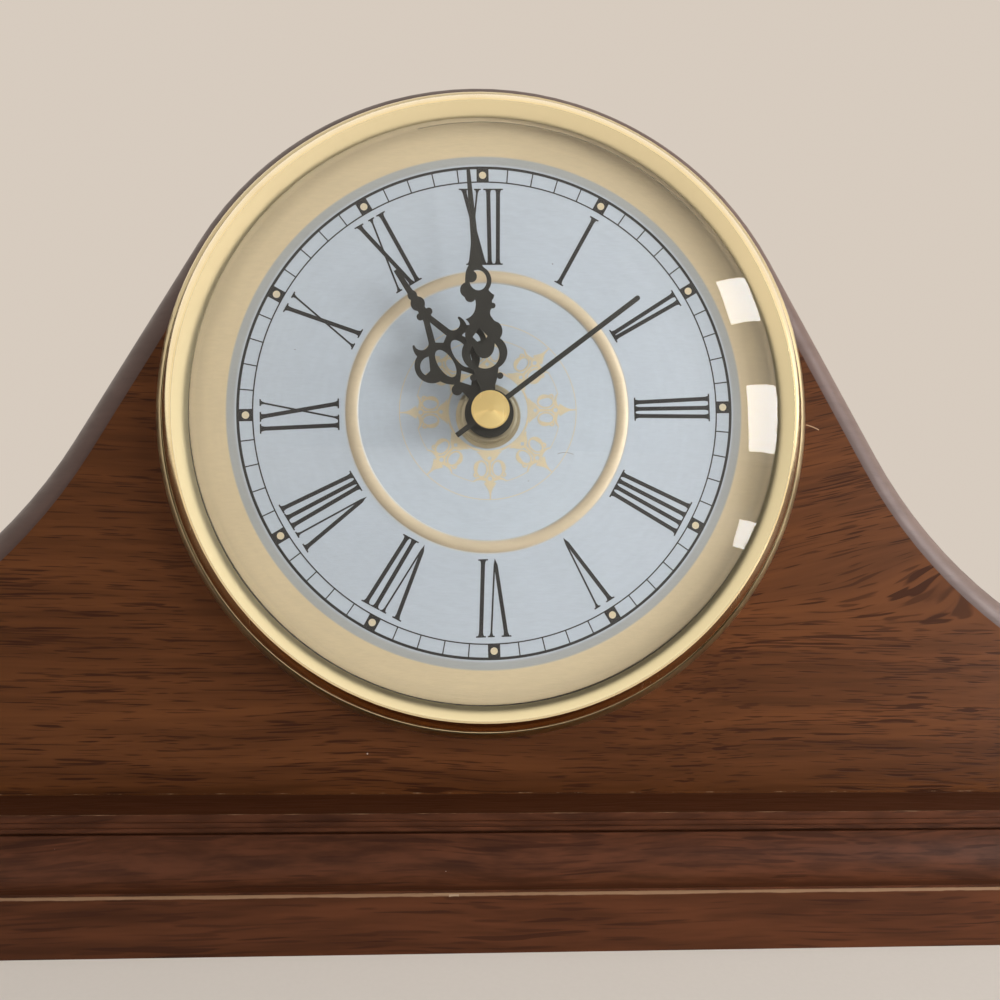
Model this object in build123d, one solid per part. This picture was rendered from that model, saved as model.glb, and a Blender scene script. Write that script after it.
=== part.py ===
from build123d import *
import os
from math import asin, cos, degrees, radians, sin, sqrt

# A wooden mantel clock with a glazed brass insert and a quartz movement, in millimetres.
# X runs to the right, Y to the back and Z up, from the middle of the base's underside.
# A "level" is a distance in front of the wooden face: positive towards the viewer.
# A clock angle is in degrees, clockwise from twelve as the viewer sees it.

right = (1, 0, 0)
forward = (0, -1, 0)
up = (0, 0, 1)

# Wooden body: a round arch, straight flanks and hollow shoulders
arch_margin = 4.0
flank_angle = 60.5
flank_length = 54.7
shoulder_radius = 115.0
shoulder_end_angle = 8.0
bezel_rise = 12.8
body_depth = 60.0
veneer_thickness = 0.5
board_thickness = 12.0
board_rounding = 7.0
board_hole_gap = 0.4
wrap_thickness = 3.0
back_thickness = 5.0
panel_gap = 0.2
access_width = 96.0
access_height = 80.0
access_corner = 12.0
cut_overrun = 5.0

# Base board and plinth moulding
base_reach = 22.0
base_thickness = 12.0
base_bevel = 0.5
plinth_thickness = 12.9
ledge_reach = 12.5
ledge_edge = 1.6
reed_step = 0.4
upper_reed = 1.0
lower_reed = 0.8
quirk_depth = 1.0
quirk_height = 0.6
cove_radius = 8.2
cove_fillet = 0.2

# Glue blocks and wood screws
cleat_place = 120.0
cleat_width = 30.0
cleat_height = 14.0
cleat_screw_offset = 7.0
arch_block_angle = 51.0
arch_block_size = 16.0
screw_gap = 0.1
screw_sink = 0.5
base_screw_length = 33.0
base_screw_radius = 2.0
base_screw_head = 4.0
base_screw_spread = 11.0
back_screw_length = 17.0
back_screw_radius = 1.6
back_screw_head = 3.3
arch_screw_inset = 8.0

# Brass bezel, pressed from sheet
bezel_radius = 76.5
bezel_rim = 1.2
bezel_rim_height = 0.9
bezel_rim_edge = 0.2
bezel_rim_bow = 0.18
bezel_step = 0.4
bezel_step_height = 0.6
bezel_sheet = 0.5
bead_width = 3.5
bead_height = 7.1
bead_bow = 0.72
crest_width = 0.45
crest_height = 7.2
band_width = 2.4
lip_height = 2.6
lip_thickness = 0.5
tube_inset = 1.5
tube_wall = 0.6
tube_depth = 4.0
tab_count = 6
tab_width = 6.0
tab_reach = 3.0
tab_thickness = 0.6
tab_start_angle = 30.0

# Glass
lens_thickness = 2.0
lens_apex = 15.0
lens_dome_radius = 490.0
lens_shoulder_radius = 9.6
lens_shoulder_inset = 11.2
lens_rim_gap = 0.3

# Dial and the cup behind it
dial_depth = 0.4
dial_gap = 0.2
dial_thickness = 0.6
spacer_width = 0.8
bead_ring_radius = 31.8
bead_ring_width = 3.0
bead_ring_height = 0.6
pan_thickness = 0.6
arbor_drop = 1.2

# Spring clips that draw the insert into the board
clip_angles = (110.0, 180.0, 250.0)
clip_width = 8.0
clip_thickness = 0.8
clip_inset = 3.4
clip_toe = 3.3
clip_foot = 19.5
clip_screw_radius = 1.3
clip_screw_head = 2.8
clip_screw_head_height = 2.0
clip_screw_length = 7.0
clip_screw_reach = 12.5

# Movement box
movement_size = 56.0
movement_depth = 16.0
movement_corner = 4.0
movement_split = 9.0
tray_wall = 1.2
cushion_thickness = 0.8
cushion_radius = 8.0
bush_radius = 3.95
bush_reach = 2.9
thread_gap = 0.1
washer_radius = 7.6
washer_thickness = 0.4
nut_radius = 6.7
nut_height = 2.6
nut_bevel = 0.5
partition_place = 11.1
partition_thickness = 1.0
boss_radius = 1.4
boss_height = 1.0
pivot_end_gap = 0.3
bearing_depth = 0.7
post_radius = 1.5
pin_radius = 0.7
pin_reach = 1.4

# Running fits
running_gap = 0.08
seat_gap = 0.02

# Going train, from the second hand's wheel to the motion work
tooth_reach_share = 0.9
tooth_root_share = 1.15
tooth_tip_width_share = 0.13
tooth_root_width_share = 0.30
seconds_module = 0.196
step_module = 0.19
cannon_module = 0.3
second_pinion_teeth = 8
third_wheel_teeth = 60
third_pinion_teeth = 8
centre_wheel_teeth = 64
second_wheel_teeth = 60
intermediate_pinion_teeth = 10
intermediate_wheel_teeth = 60
rotor_pinion_teeth = 12
cannon_pinion_teeth = 14
reversing_wheel_teeth = 42
reversing_pinion_teeth = 10
hour_wheel_teeth = 40
wheel_window_count = 4
pinion_overlap = 0.2
wheel_gap = 0.6
plane_gap = 1.0
front_gap = 0.8
hour_wheel_thickness = 0.8
thick_wheel = 0.6
thin_wheel = 0.5
collar_radius = 2.2
collar_thickness = 0.3
pivot_radius = 0.4
stem_radius = 1.0
hour_tube_radius = 2.5
minute_tube_radius = 1.6
hour_tube_bore = 1.68
minute_tube_bore = 0.48

# Plates, coil and circuit
plate_thickness = 1.0
plate_half_width = 16.0
plate_low = 10.4
plate_high = 17.5
plate_post_place = 14.0
plate_post_low = 8.4
plate_post_high = 15.4
stator_thickness = 1.0
stator_gap = 0.5
stator_half_width = 15.0
stator_low = 9.6
stator_high = 18.0
stator_hole_radius = 3.5
stator_pin_place = 12.5
ear_width = 5.0
magnet_radius = 3.0
magnet_thickness = 2.0
magnet_bore = 0.8
coil_place = 22.5
core_width = 2.6
bobbin_half_length = 9.5
bobbin_wall = 0.5
flange_radius = 3.95
flange_thickness = 0.8
winding_radius = 3.6
board_left = 17.0
board_width = 9.4
board_low = 9.0
board_high = 25.0
circuit_thickness = 0.8
board_post_inset = 2.4
chip_radius = 3.0
chip_height = 1.0
can_radius = 1.0
can_length = 6.0

# Battery and its contacts
battery_radius = 7.1
battery_length = 48.3
battery_nub = 1.0
battery_nub_radius = 2.7
battery_drop = 19.3
battery_inset = 0.4
slot_gap = 0.3
contact_thickness = 0.4
contact_height = 9.0
contact_width = 8.0
contact_gap = 0.1

# Setting knob
knob_radius = 5.0
knob_gap = 0.3
knob_thickness = 2.8
knob_scallops = 12
scallop_radius = 0.9

# Hands
hand_thickness = 0.4
hour_level = 4.6
minute_level = 7.2
second_level = 9.8
second_thickness = 0.3
hour_length = 39.0
minute_length = 55.4
second_length = 42.5
second_tail = 9.4
second_width = 1.15
hour_hub_radius = 5.6
minute_hub_radius = 4.0
second_hub_radius = 2.6
hand_pipe_radius = 1.1
hand_pipe_reach = 1.4
cap_radius = 4.25
cap_height = 2.0
cap_rim = 0.35
cap_top_radius = 0.7
cap_rise = 1.1
hour_angle = -34.1
minute_angle = -6.0
second_angle = 51.5

# Hand outlines as shares of the hand's length: across, along, and how far the stretch that
# ends there bows outwards. The hour hand is alike on both sides of its middle line.
hour_side_shares = (
    (0.051, 0.120), (0.062, 0.180), (0.082, 0.252), (0.139, 0.312, 0.005),
    (0.172, 0.506, 0.076), (0.164, 0.568, 0.006), (0.152, 0.562, 0.008), (0.111, 0.516, -0.013),
    (0.070, 0.545, -0.009), (0.029, 0.660), (0.024, 0.735), (0.024, 0.800), (0.018, 0.850),
    (0.014, 1.0),
)
hour_lobe_shares = ((0.083, 0.216, 0.032), (0.030, 0.693, 0.021))
hour_bulb_shares = ((0.765, 0.042), (0.824, 0.028))
hour_oval_share = (0.0545, 0.382, 0.0445, 0.092)
hour_moon_shares = ((0.115, 0.470), (0.191, 0.386, -0.041), (0.155, 0.394), (0.136, 0.430))
hour_kite_shares = ((0.0, 0.636), (0.039, 0.517), (0.0, 0.491), (-0.039, 0.517))
hour_diamond_share = (0.246, 0.043, 0.052)

minute_outline_shares = (
    (0.030, 0.040), (0.031, 0.105), (0.041, 0.130), (0.052, 0.177), (0.068, 0.296, 0.033),
    (0.066, 0.362, 0.014),
    (0.045, 0.381, -0.004), (0.049, 0.424, -0.010), (0.049, 0.454), (0.061, 0.475, 0.002),
    (0.039, 0.499, -0.003), (0.036, 0.584, 0.017), (0.020, 0.612, -0.004), (0.0145, 0.722, -0.002),
    (0.0075, 0.994), (-0.0075, 0.994, 0.006), (-0.0145, 0.722), (-0.026, 0.612, -0.002),
    (-0.049, 0.535, 0.010), (-0.060, 0.476, 0.022), (-0.019, 0.463, 0.016), (-0.020, 0.432, -0.002),
    (-0.064, 0.384, -0.010), (-0.050, 0.358, -0.003), (-0.067, 0.296, 0.013), (-0.052, 0.177, 0.033),
    (-0.041, 0.130), (-0.031, 0.105), (-0.030, 0.040),
)
minute_knob_shares = ((0.055, 0.143, 0.013), (-0.055, 0.143, 0.013), (0.051, 0.432, 0.011))
minute_ring_share = (0.0, 0.5415, 0.053, 0.055)
minute_loop_share = (0.001, 0.236, 0.060)
minute_tongue_share = (0.0, 0.277, 0.044, 0.058)
minute_diamond_share = (-0.012, 0.309, 0.031, 0.036)
minute_moon_share = (0.0, 0.541, 0.036, 0.043)
minute_scroll_share = (-0.027, 0.558, 0.0235)

# Radii and places that follow from the sizes above
bead_foot_radius = bezel_radius - bezel_rim - bezel_step
bead_top_radius = bead_foot_radius - bead_width
crest_radius = bead_top_radius - crest_width
lip_radius = crest_radius - band_width
tube_bore = bead_top_radius - tube_inset
tube_radius = tube_bore + tube_wall
board_hole_radius = tube_radius + board_hole_gap
arch_radius = bezel_radius + arch_margin
lens_shoulder_place = tube_bore - lens_shoulder_inset
clip_wall_radius = tube_bore - clip_inset
clip_screw_place = clip_wall_radius + clip_screw_reach
dial_rise = bezel_radius + bezel_rise
plinth_top = base_thickness + plinth_thickness
dial_z = plinth_top + dial_rise
arbor_z = dial_z - arbor_drop
base_depth = body_depth + base_reach
face_y = base_reach - base_depth / 2
board_back = -veneer_thickness - board_thickness
dial_front = -dial_depth
dial_back = dial_front - dial_thickness
pan_back = dial_back - pan_thickness
box_front = pan_back - cushion_thickness
box_split = box_front - movement_split
box_back = box_front - movement_depth
inner_front = box_front - tray_wall
inner_back = box_back + tray_wall
inner_half = movement_size / 2 - tray_wall
lens_seat = lip_height - lens_thickness
tube_end = -tube_depth

# Wheel planes, each below the one in front of it
hour_wheel_front = inner_front - front_gap
reversing_wheel_front = hour_wheel_front - hour_wheel_thickness - wheel_gap
plate_front = reversing_wheel_front - thick_wheel - plane_gap
plate_back = plate_front - plate_thickness
centre_wheel_front = plate_back - wheel_gap
collar_front = centre_wheel_front - thick_wheel - running_gap
third_wheel_front = collar_front - collar_thickness - plane_gap
stator_front = third_wheel_front - thin_wheel - stator_gap
second_wheel_front = third_wheel_front - thin_wheel - plane_gap
intermediate_wheel_front = second_wheel_front - thin_wheel - plane_gap
core_front = stator_front + stator_thickness
magnet_front = stator_front - stator_thickness / 2 + magnet_thickness / 2
pivot_end = inner_back + pivot_end_gap

# Wheel places to the right of the arbor and above it
third_distance = seconds_module * (second_pinion_teeth + third_wheel_teeth) / 2
centre_module = 2 * third_distance / (third_pinion_teeth + centre_wheel_teeth)
reversing_distance = cannon_module * (cannon_pinion_teeth + reversing_wheel_teeth) / 2
hour_module = 2 * reversing_distance / (reversing_pinion_teeth + hour_wheel_teeth)
intermediate_distance = step_module * (second_wheel_teeth + intermediate_pinion_teeth) / 2
rotor_distance = intermediate_distance + step_module * (intermediate_wheel_teeth + rotor_pinion_teeth) / 2
arbor = (0, 0)
third_place = (-third_distance, 0)
reversing_place = (reversing_distance, 0)
intermediate_place = (0, intermediate_distance)
rotor_place = (0, rotor_distance)


def around(centre, radius, clock_angle):
    turn = radians(clock_angle)
    return (centre[0] + radius * sin(turn), centre[1] + radius * cos(turn))


def arc(centre, radius, start, end):
    return ThreePointArc(*[around(centre, radius, turn) for turn in (start, (start + end) / 2, end)])


def outline(points):
    """Close a face through (x, y) or (x, y, bow) points; a bow swells to the right of the way."""
    edges = []
    for start, end in zip(points, points[1:] + points[:1]):
        first, last = Vector(*start[:2]), Vector(*end[:2])
        if len(end) == 3:
            way = (last - first).normalized()
            middle = (first + last) / 2 + Vector(way.Y, -way.X) * end[2]
            edges.append(ThreePointArc(first, middle, last))
        else:
            edges.append(Line(first, last))
    return make_face(edges)


def layer(shape, top, thickness, centre_z=0):
    """Make a flat shape, seen from the front, solid from level `top` backwards."""
    plane = Plane(origin=(0, face_y - top, centre_z), x_dir=right, z_dir=forward)
    return extrude(plane * shape, thickness, dir=-Vector(forward))


def turned(points, origin, along=forward):
    """Turn an outline of (radius, distance along the axis) points about its axis."""
    plane = Plane(origin=origin, x_dir=right, z_dir=Vector(right).cross(Vector(along)))
    return revolve(plane * outline(points), Axis(origin, along))


def insert_axis(level=0):
    return (0, face_y - level, dial_z)


def movement_axis(place, level=0):
    return (place[0], face_y - level, arbor_z + place[1])


def rod(place, radius, top, bottom):
    """A round bar of the movement between two levels."""
    return layer(Pos(*place) * Circle(radius), top, top - bottom, arbor_z)


def clocked(shape, clock_angle, centre_z):
    return shape.rotate(Axis((0, 0, centre_z), forward), -clock_angle)


# Case

flank_normal = around((0, 0), 1, flank_angle)
shoulder_centre = (
    (arch_radius + shoulder_radius) * flank_normal[0] + flank_length * flank_normal[1],
    (arch_radius + shoulder_radius) * flank_normal[1] - flank_length * flank_normal[0],
)
body_half_width = shoulder_centre[0] - shoulder_radius * sin(radians(shoulder_end_angle))
base_half_width = body_half_width + base_reach


def case_outline(inset=0, foot=plinth_top):
    """The body's silhouette above the plinth, moved inwards by `inset`."""
    half_width = body_half_width - inset
    hollow = shoulder_radius + inset
    end_angle = degrees(asin((shoulder_centre[0] - half_width) / hollow))
    shoulder_start = around(shoulder_centre, hollow, flank_angle + 180)
    shoulder_end = around(shoulder_centre, hollow, end_angle + 180)
    side = Curve() + [
        Line(around((0, 0), arch_radius - inset, flank_angle), shoulder_start),
        arc(shoulder_centre, hollow, flank_angle + 180, end_angle + 180),
        Line(shoulder_end, (half_width, foot - dial_z)),
    ]
    top = arc((0, 0), arch_radius - inset, -flank_angle, flank_angle)
    bottom = Line((-half_width, foot - dial_z), (half_width, foot - dial_z))
    return make_face([top, bottom] + side.edges() + mirror(side, Plane.YZ).edges())


def moulding(edge):
    """The plinth's edge from the base up, `edge` out from the middle: cove, quirk, reeds, ledge."""
    reeds = ledge_reach + 2 * reed_step
    cove_lip = reeds + reed_step / 4
    cove_foot = plinth_thickness - ledge_edge - upper_reed - lower_reed - quirk_height
    cove_bow = cove_radius * (1 - sqrt(2) / 2)
    heights = [ledge_edge, upper_reed, lower_reed, quirk_height]
    level = [plinth_thickness - sum(heights[:count]) for count in range(len(heights) + 1)]
    low = cove_foot - cove_fillet - cove_radius
    return [
        (edge + cove_lip + cove_radius, 0), (edge + cove_lip + cove_radius, low),
        (edge + cove_lip, low + cove_radius, -cove_bow), (edge + cove_lip, level[4]),
        (edge + reeds - quirk_depth, level[4]), (edge + reeds - quirk_depth, level[3]),
        (edge + reeds, level[3]), (edge + reeds, level[2]),
        (edge + ledge_reach + reed_step, level[2]), (edge + ledge_reach + reed_step, level[1]),
        (edge + ledge_reach, level[1]), (edge + ledge_reach, plinth_thickness),
    ]


def base_board():
    board = Pos(0, 0, base_thickness / 2) * Box(2 * base_half_width, base_depth, base_thickness)
    top = board.faces().sort_by(Axis.Z)[-1].edges()
    back = top.sort_by(Axis.Y)[-1]
    corners = board.edges().filter_by(Axis.Z).sort_by(Axis.Y)[:2]
    board = chamfer(top - ShapeList([back]) + corners, base_bevel)
    return board - base_screw_shapes(screw_gap)


def plinth_board():
    front_plane = Plane(origin=(0, face_y, base_thickness), x_dir=forward, z_dir=-Vector(right))
    front_edge = outline([(-body_depth, 0)] + moulding(0) + [(-body_depth, plinth_thickness)])
    front = extrude(front_plane * front_edge, base_half_width, both=True)
    half_end = outline([(0, 0)] + moulding(body_half_width) + [(0, plinth_thickness)])
    ends = layer(half_end + mirror(half_end, Plane.YZ), base_reach, base_depth, base_thickness)
    return (front & ends) - base_screw_shapes(screw_gap)


def front_board():
    board = layer(case_outline(), -veneer_thickness, board_thickness, dial_z)
    edge = board.faces().sort_by(Axis.Y)[0].edges().sort_by(Axis.Z)[1:]
    board = fillet(edge, board_rounding)
    board -= layer(Circle(board_hole_radius), 0, body_depth, dial_z)
    return board - clip_screw_shapes(screw_gap)


def front_veneer():
    shape = case_outline(board_rounding) - Circle(board_hole_radius)
    return layer(shape, 0, veneer_thickness, dial_z)


def top_wrap():
    shape = case_outline() - case_outline(wrap_thickness, plinth_top - cut_overrun)
    return layer(shape, board_back, body_depth + board_back, dial_z)


def back_board():
    shape = case_outline(wrap_thickness + panel_gap, plinth_top + panel_gap)
    shape -= Pos(0, -arbor_drop) * RectangleRounded(access_width, access_height, access_corner)
    board = layer(shape, back_thickness - body_depth, back_thickness, dial_z)
    return board - back_screw_shapes(screw_gap)


def glue_blocks():
    """Two cleats on the plinth behind the board, and two blocks under the arch."""
    cleat = Pos(cleat_place, plinth_top + cleat_height / 2 - dial_z) * Rectangle(cleat_width, cleat_height)
    block_centre = around((0, 0), arch_radius - wrap_thickness - arch_block_size / 2, arch_block_angle)
    block = Pos(*block_centre) * Rot(0, 0, -arch_block_angle) * Rectangle(
        arch_block_size, arch_block_size + wrap_thickness)
    shapes = Sketch() + [cleat, block & case_outline(wrap_thickness)]
    depth = body_depth + board_back - back_thickness
    blocks = layer(shapes + mirror(shapes, Plane.YZ), board_back, depth, dial_z)
    return blocks - base_screw_shapes(screw_gap) - back_screw_shapes(screw_gap)


def wood_screw(origin, along, head, shank, length, gap):
    """A countersunk wood screw, or with a gap the hole that it goes in, open at its mouth."""
    screw = turned([
        (0, 0), (head + gap, 0), (shank + gap, head - shank + gap), (shank + gap, length - 2 * shank),
        (0, length + gap),
    ], origin, along)
    if gap:
        screw += turned([
            (0, -screw_sink - gap), (head + gap, -screw_sink - gap), (head + gap, 0), (0, 0),
        ], origin, along)
    return screw


def base_screw_shapes(gap=0):
    middle = face_y + (body_depth - board_back - back_thickness) / 2
    reach = cleat_place - cleat_screw_offset
    places = [(x, middle + y) for x in (-reach, reach) for y in (-base_screw_spread, base_screw_spread)]
    return Compound(children=[
        wood_screw((x, y, screw_sink), up, base_screw_head, base_screw_radius, base_screw_length, gap)
        for x, y in places])


def back_screw_shapes(gap=0):
    arch = around((0, dial_z), arch_radius - arch_screw_inset, arch_block_angle)
    cleat = (cleat_place + cleat_screw_offset, plinth_top + cleat_height / 2)
    places = [(side * x, z) for x, z in (arch, cleat) for side in (-1, 1)]
    back = face_y + body_depth - screw_sink
    return Compound(children=[
        wood_screw((x, back, z), forward, back_screw_head, back_screw_radius, back_screw_length, gap)
        for x, z in places])


# Glazed insert

def bezel():
    """Sheet turned over from the tube that enters the board, out over the bead to the rim."""
    ring = turned([
        (bezel_radius, 0), (bezel_radius, bezel_rim_edge),
        (bezel_radius - bezel_rim, bezel_rim_height, bezel_rim_bow),
        (bezel_radius - bezel_rim, bezel_step_height),
        (bead_foot_radius, bezel_step_height), (bead_top_radius, bead_height, bead_bow),
        (crest_radius, crest_height), (lip_radius, lip_height + lip_thickness),
        (lip_radius, lip_height), (tube_bore, lip_height), (tube_bore, tube_end),
        (tube_radius, tube_end), (tube_radius, bead_height - 4 * bezel_sheet),
        (bead_top_radius - bezel_sheet / 2, bead_height - 1.5 * bezel_sheet),
        (bead_foot_radius - bezel_sheet, bezel_rim_height, -bead_bow), (bead_foot_radius - bezel_sheet, 0),
    ], insert_axis())
    band = Circle(tube_radius) - Circle(tube_radius - tab_reach)
    bar = Pos(0, tube_radius) * Rectangle(tab_width, 3 * tab_reach)
    tab = layer(band & bar, tube_end, tab_thickness, dial_z)
    turns = [tab_start_angle + 360 * number / tab_count for number in range(tab_count)]
    return ring + [clocked(tab, turn, dial_z) for turn in turns]


def lens():
    """Pressed glass: a flat rim under the lip, a steep shoulder and a shallow dome."""
    reach = lens_dome_radius - lens_shoulder_radius
    lean = asin(lens_shoulder_place / reach)
    shoulder_level = lens_apex - lens_dome_radius + reach * cos(lean)
    middle_turn = degrees(lean) + (90 - degrees(lean)) / 2

    def side(radius, start, end):
        centre = (lens_shoulder_place, shoulder_level)
        return [around(centre, radius, turn) for turn in (start, middle_turn, end)]

    inner_radius = lens_shoulder_radius - lens_thickness
    rim = tube_bore - lens_rim_gap
    top_turn = 90 - degrees(asin((lip_height - shoulder_level) / lens_shoulder_radius))
    outer = side(lens_shoulder_radius, degrees(lean), top_turn)
    inner = side(inner_radius, 90, degrees(lean))
    dome_centre = (0, lens_apex - lens_dome_radius)
    half_lean = degrees(lean) / 2
    edges = [
        ThreePointArc((0, lens_apex), around(dome_centre, lens_dome_radius, half_lean), outer[0]),
        ThreePointArc(*outer),
        Line(outer[2], (rim, lip_height)),
        Line((rim, lip_height), (rim, lens_seat)),
        Line((rim, lens_seat), (inner[0][0], lens_seat)),
        Line((inner[0][0], lens_seat), inner[0]),
        ThreePointArc(*inner),
        ThreePointArc(inner[2], around(dome_centre, lens_dome_radius - lens_thickness, half_lean),
                      (0, lens_apex - lens_thickness)),
        Line((0, lens_apex - lens_thickness), (0, lens_apex)),
    ]
    plane = Plane(origin=insert_axis(), x_dir=right, z_dir=Vector(right).cross(Vector(forward)))
    return revolve(plane * make_face(edges), Axis(insert_axis(), forward))


def spacer_ring():
    outer = tube_bore - dial_gap
    ring = Circle(outer) - Circle(outer - spacer_width)
    return layer(ring, lens_seat, lens_seat - dial_front, dial_z)


def dial_plate():
    """A flat plate with the raised ring inside its numerals."""
    plate = layer(Circle(tube_bore - dial_gap), dial_front, dial_thickness, dial_z)
    inner, outer = bead_ring_radius - bead_ring_width / 2, bead_ring_radius + bead_ring_width / 2
    ring = turned([
        (inner, dial_front), (inner, dial_back + dial_thickness / 2),
        (outer, dial_back + dial_thickness / 2), (outer, dial_front), (inner, dial_front, bead_ring_height),
    ][1:], insert_axis())
    return plate + ring - rod(arbor, bush_radius + thread_gap, lens_apex, box_front)


def back_pan():
    outer = tube_bore - dial_gap
    pan = layer(Circle(outer), dial_back, dial_back - tube_end, dial_z)
    pan -= layer(Circle(outer - pan_thickness), pan_back, pan_back - tube_end, dial_z)
    return pan - rod(arbor, bush_radius + thread_gap, lens_apex, box_front)


def insert_clips():
    """Z-shaped springs: a toe under the cup's rim, a wall and a foot screwed to the board."""
    foot = board_back - clip_thickness
    toe = tube_end - clip_thickness
    wall = clip_wall_radius + clip_thickness
    profile = outline([
        (clip_wall_radius, foot), (clip_wall_radius + clip_foot, foot),
        (clip_wall_radius + clip_foot, board_back), (wall, board_back), (wall, toe),
        (clip_wall_radius + clip_toe, toe), (clip_wall_radius + clip_toe, tube_end),
        (clip_wall_radius, tube_end),
    ])
    plane = Plane(origin=insert_axis(), x_dir=up, z_dir=right)
    clip = extrude(plane * profile, clip_width / 2, both=True)
    clips = Compound(children=[clocked(clip, turn, dial_z) for turn in clip_angles])
    return clips - clip_screw_shapes(screw_gap)


def clip_screw_shapes(gap=0):
    """Round-headed screws, heads to the back."""
    head_top = clip_thickness + clip_screw_head_height
    profile = [
        (0, -head_top), (clip_screw_head, -head_top + clip_screw_radius),
        (clip_screw_head, -clip_thickness), (clip_screw_radius + gap, -clip_thickness),
        (clip_screw_radius + gap, clip_screw_length - clip_screw_radius), (0, clip_screw_length + gap),
    ]
    screw = turned(profile, (0, face_y - board_back, dial_z + clip_screw_place))
    return Compound(children=[clocked(screw, turn, dial_z) for turn in clip_angles])


# Movement box

def cushion_washer():
    ring = Circle(cushion_radius) - Circle(bush_radius + thread_gap)
    return layer(ring, pan_back, cushion_thickness, arbor_z)


def box_outline(inset=0):
    side = movement_size - 2 * inset
    return RectangleRounded(side, side, movement_corner - inset)


def partition():
    return Pos(0, -partition_place) * Rectangle(2 * inner_half + tray_wall, partition_thickness)


def plate_posts():
    return [(side * plate_post_place, z) for side in (-1, 1) for z in (-plate_post_low, plate_post_high)]


def board_posts():
    x = board_left + board_width - board_post_inset
    return [(x, board_post_inset - board_low), (x, board_high - board_post_inset)]


def coil_posts():
    return [(side * (stator_half_width - ear_width / 2), coil_place) for side in (-1, 1)]


def movement_front():
    """The tray against the dial, with the threaded bush and the posts that carry the plates."""
    tray = layer(box_outline(), box_front, movement_split, arbor_z)
    tray -= layer(box_outline(tray_wall), inner_front, inner_front - box_split, arbor_z)
    tray += layer(partition(), inner_front, inner_front - box_split, arbor_z)
    tray += rod(arbor, bush_radius, bush_reach, box_front)
    seats = [(plate_posts(), plate_front), (board_posts(), plate_front), (coil_posts(), core_front)]
    for places, seat in seats:
        for place in places:
            tray += rod(place, post_radius, inner_front, seat)
            tray += rod(place, pin_radius, seat, seat - pin_reach)
    tray -= rod(arbor, hour_tube_radius + running_gap, lens_apex, box_back)
    return tray - rod(reversing_place, pivot_radius + running_gap, inner_front + bearing_depth, box_back)


def movement_back():
    """The rear tray: pivot bosses, the knob's hole and the open battery bay."""
    depth = movement_depth - movement_split
    tray = layer(box_outline(), box_split, depth, arbor_z)
    tray -= layer(box_outline(tray_wall), box_split, box_split - inner_back, arbor_z)
    tray += layer(partition(), box_split, box_split - inner_back, arbor_z)
    for place in (arbor, third_place, intermediate_place, rotor_place):
        tray += rod(place, boss_radius, inner_back + boss_height, inner_back)
        tray -= rod(place, pivot_radius + running_gap, inner_back + boss_height, inner_back)
    tray -= rod(reversing_place, stem_radius + running_gap, box_split, box_back)
    slot = Pos(0, -battery_drop) * Rectangle(2 * inner_half - slot_gap, 2 * (battery_radius + slot_gap))
    return tray - layer(slot, inner_back, tray_wall, arbor_z)


def fixing_washer():
    ring = Circle(washer_radius) - Circle(bush_radius + thread_gap)
    return layer(ring, dial_front + washer_thickness, washer_thickness, arbor_z)


def fixing_nut():
    bottom = dial_front + washer_thickness
    top = bottom + nut_height
    bore = bush_radius + thread_gap
    return turned([
        (bore, bottom), (nut_radius, bottom), (nut_radius, top - nut_bevel),
        (nut_radius - nut_bevel, top), (bore, top),
    ], movement_axis(arbor))


# Gear train

def toothed(teeth, module, tooth_angle):
    """A wheel's outline of tapered teeth, one of them at `tooth_angle`."""
    step = 360 / teeth
    pitch_radius = module * teeth / 2
    root = pitch_radius - tooth_root_share * module
    tip = pitch_radius + tooth_reach_share * module
    corners = ((root, -tooth_root_width_share), (tip, -tooth_tip_width_share),
               (tip, tooth_tip_width_share), (root, tooth_root_width_share))
    return make_face(Polyline([
        around((0, 0), radius, tooth_angle + step * (number + share))
        for number in range(teeth) for radius, share in corners], close=True))


def windows(module, teeth, hub_radius):
    """Round openings that lighten a wheel between its hub and its rim."""
    rim = module * (teeth / 2 - 4)
    radius = (rim - hub_radius) / 3
    return PolarLocations((rim + hub_radius) / 2, wheel_window_count) * Circle(radius)


def wheel(place, teeth, module, tooth_angle, front, thickness, hub_radius):
    shape = toothed(teeth, module, tooth_angle) - windows(module, teeth, hub_radius)
    return layer(Pos(*place) * shape, front, thickness, arbor_z)


def pinion(place, teeth, module, tooth_angle, wheel_front, wheel_thickness):
    """A pinion a little longer than the wheel that it drives, gap to tooth."""
    shape = Pos(*place) * toothed(teeth, module, tooth_angle)
    return layer(shape, wheel_front + pinion_overlap, wheel_thickness + 2 * pinion_overlap, arbor_z)


def gap_angle(angle, teeth):
    return angle + 180 / teeth


def second_wheel():
    """Driven by the intermediate pinion above it; its own pinion drives the third wheel."""
    top = third_wheel_front + pinion_overlap
    shape = wheel(arbor, second_wheel_teeth, step_module, gap_angle(0, second_wheel_teeth),
                  second_wheel_front, thin_wheel, boss_radius)
    shape += pinion(arbor, second_pinion_teeth, seconds_module, -90, third_wheel_front, thin_wheel)
    root = seconds_module * (second_pinion_teeth / 2 - tooth_root_share)
    shape += rod(arbor, root, top, second_wheel_front)
    return shape - rod(arbor, pivot_radius + seat_gap, top, inner_back)


def second_arbor():
    return rod(arbor, pivot_radius, second_level + second_thickness + cap_height / 2, pivot_end)


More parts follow.
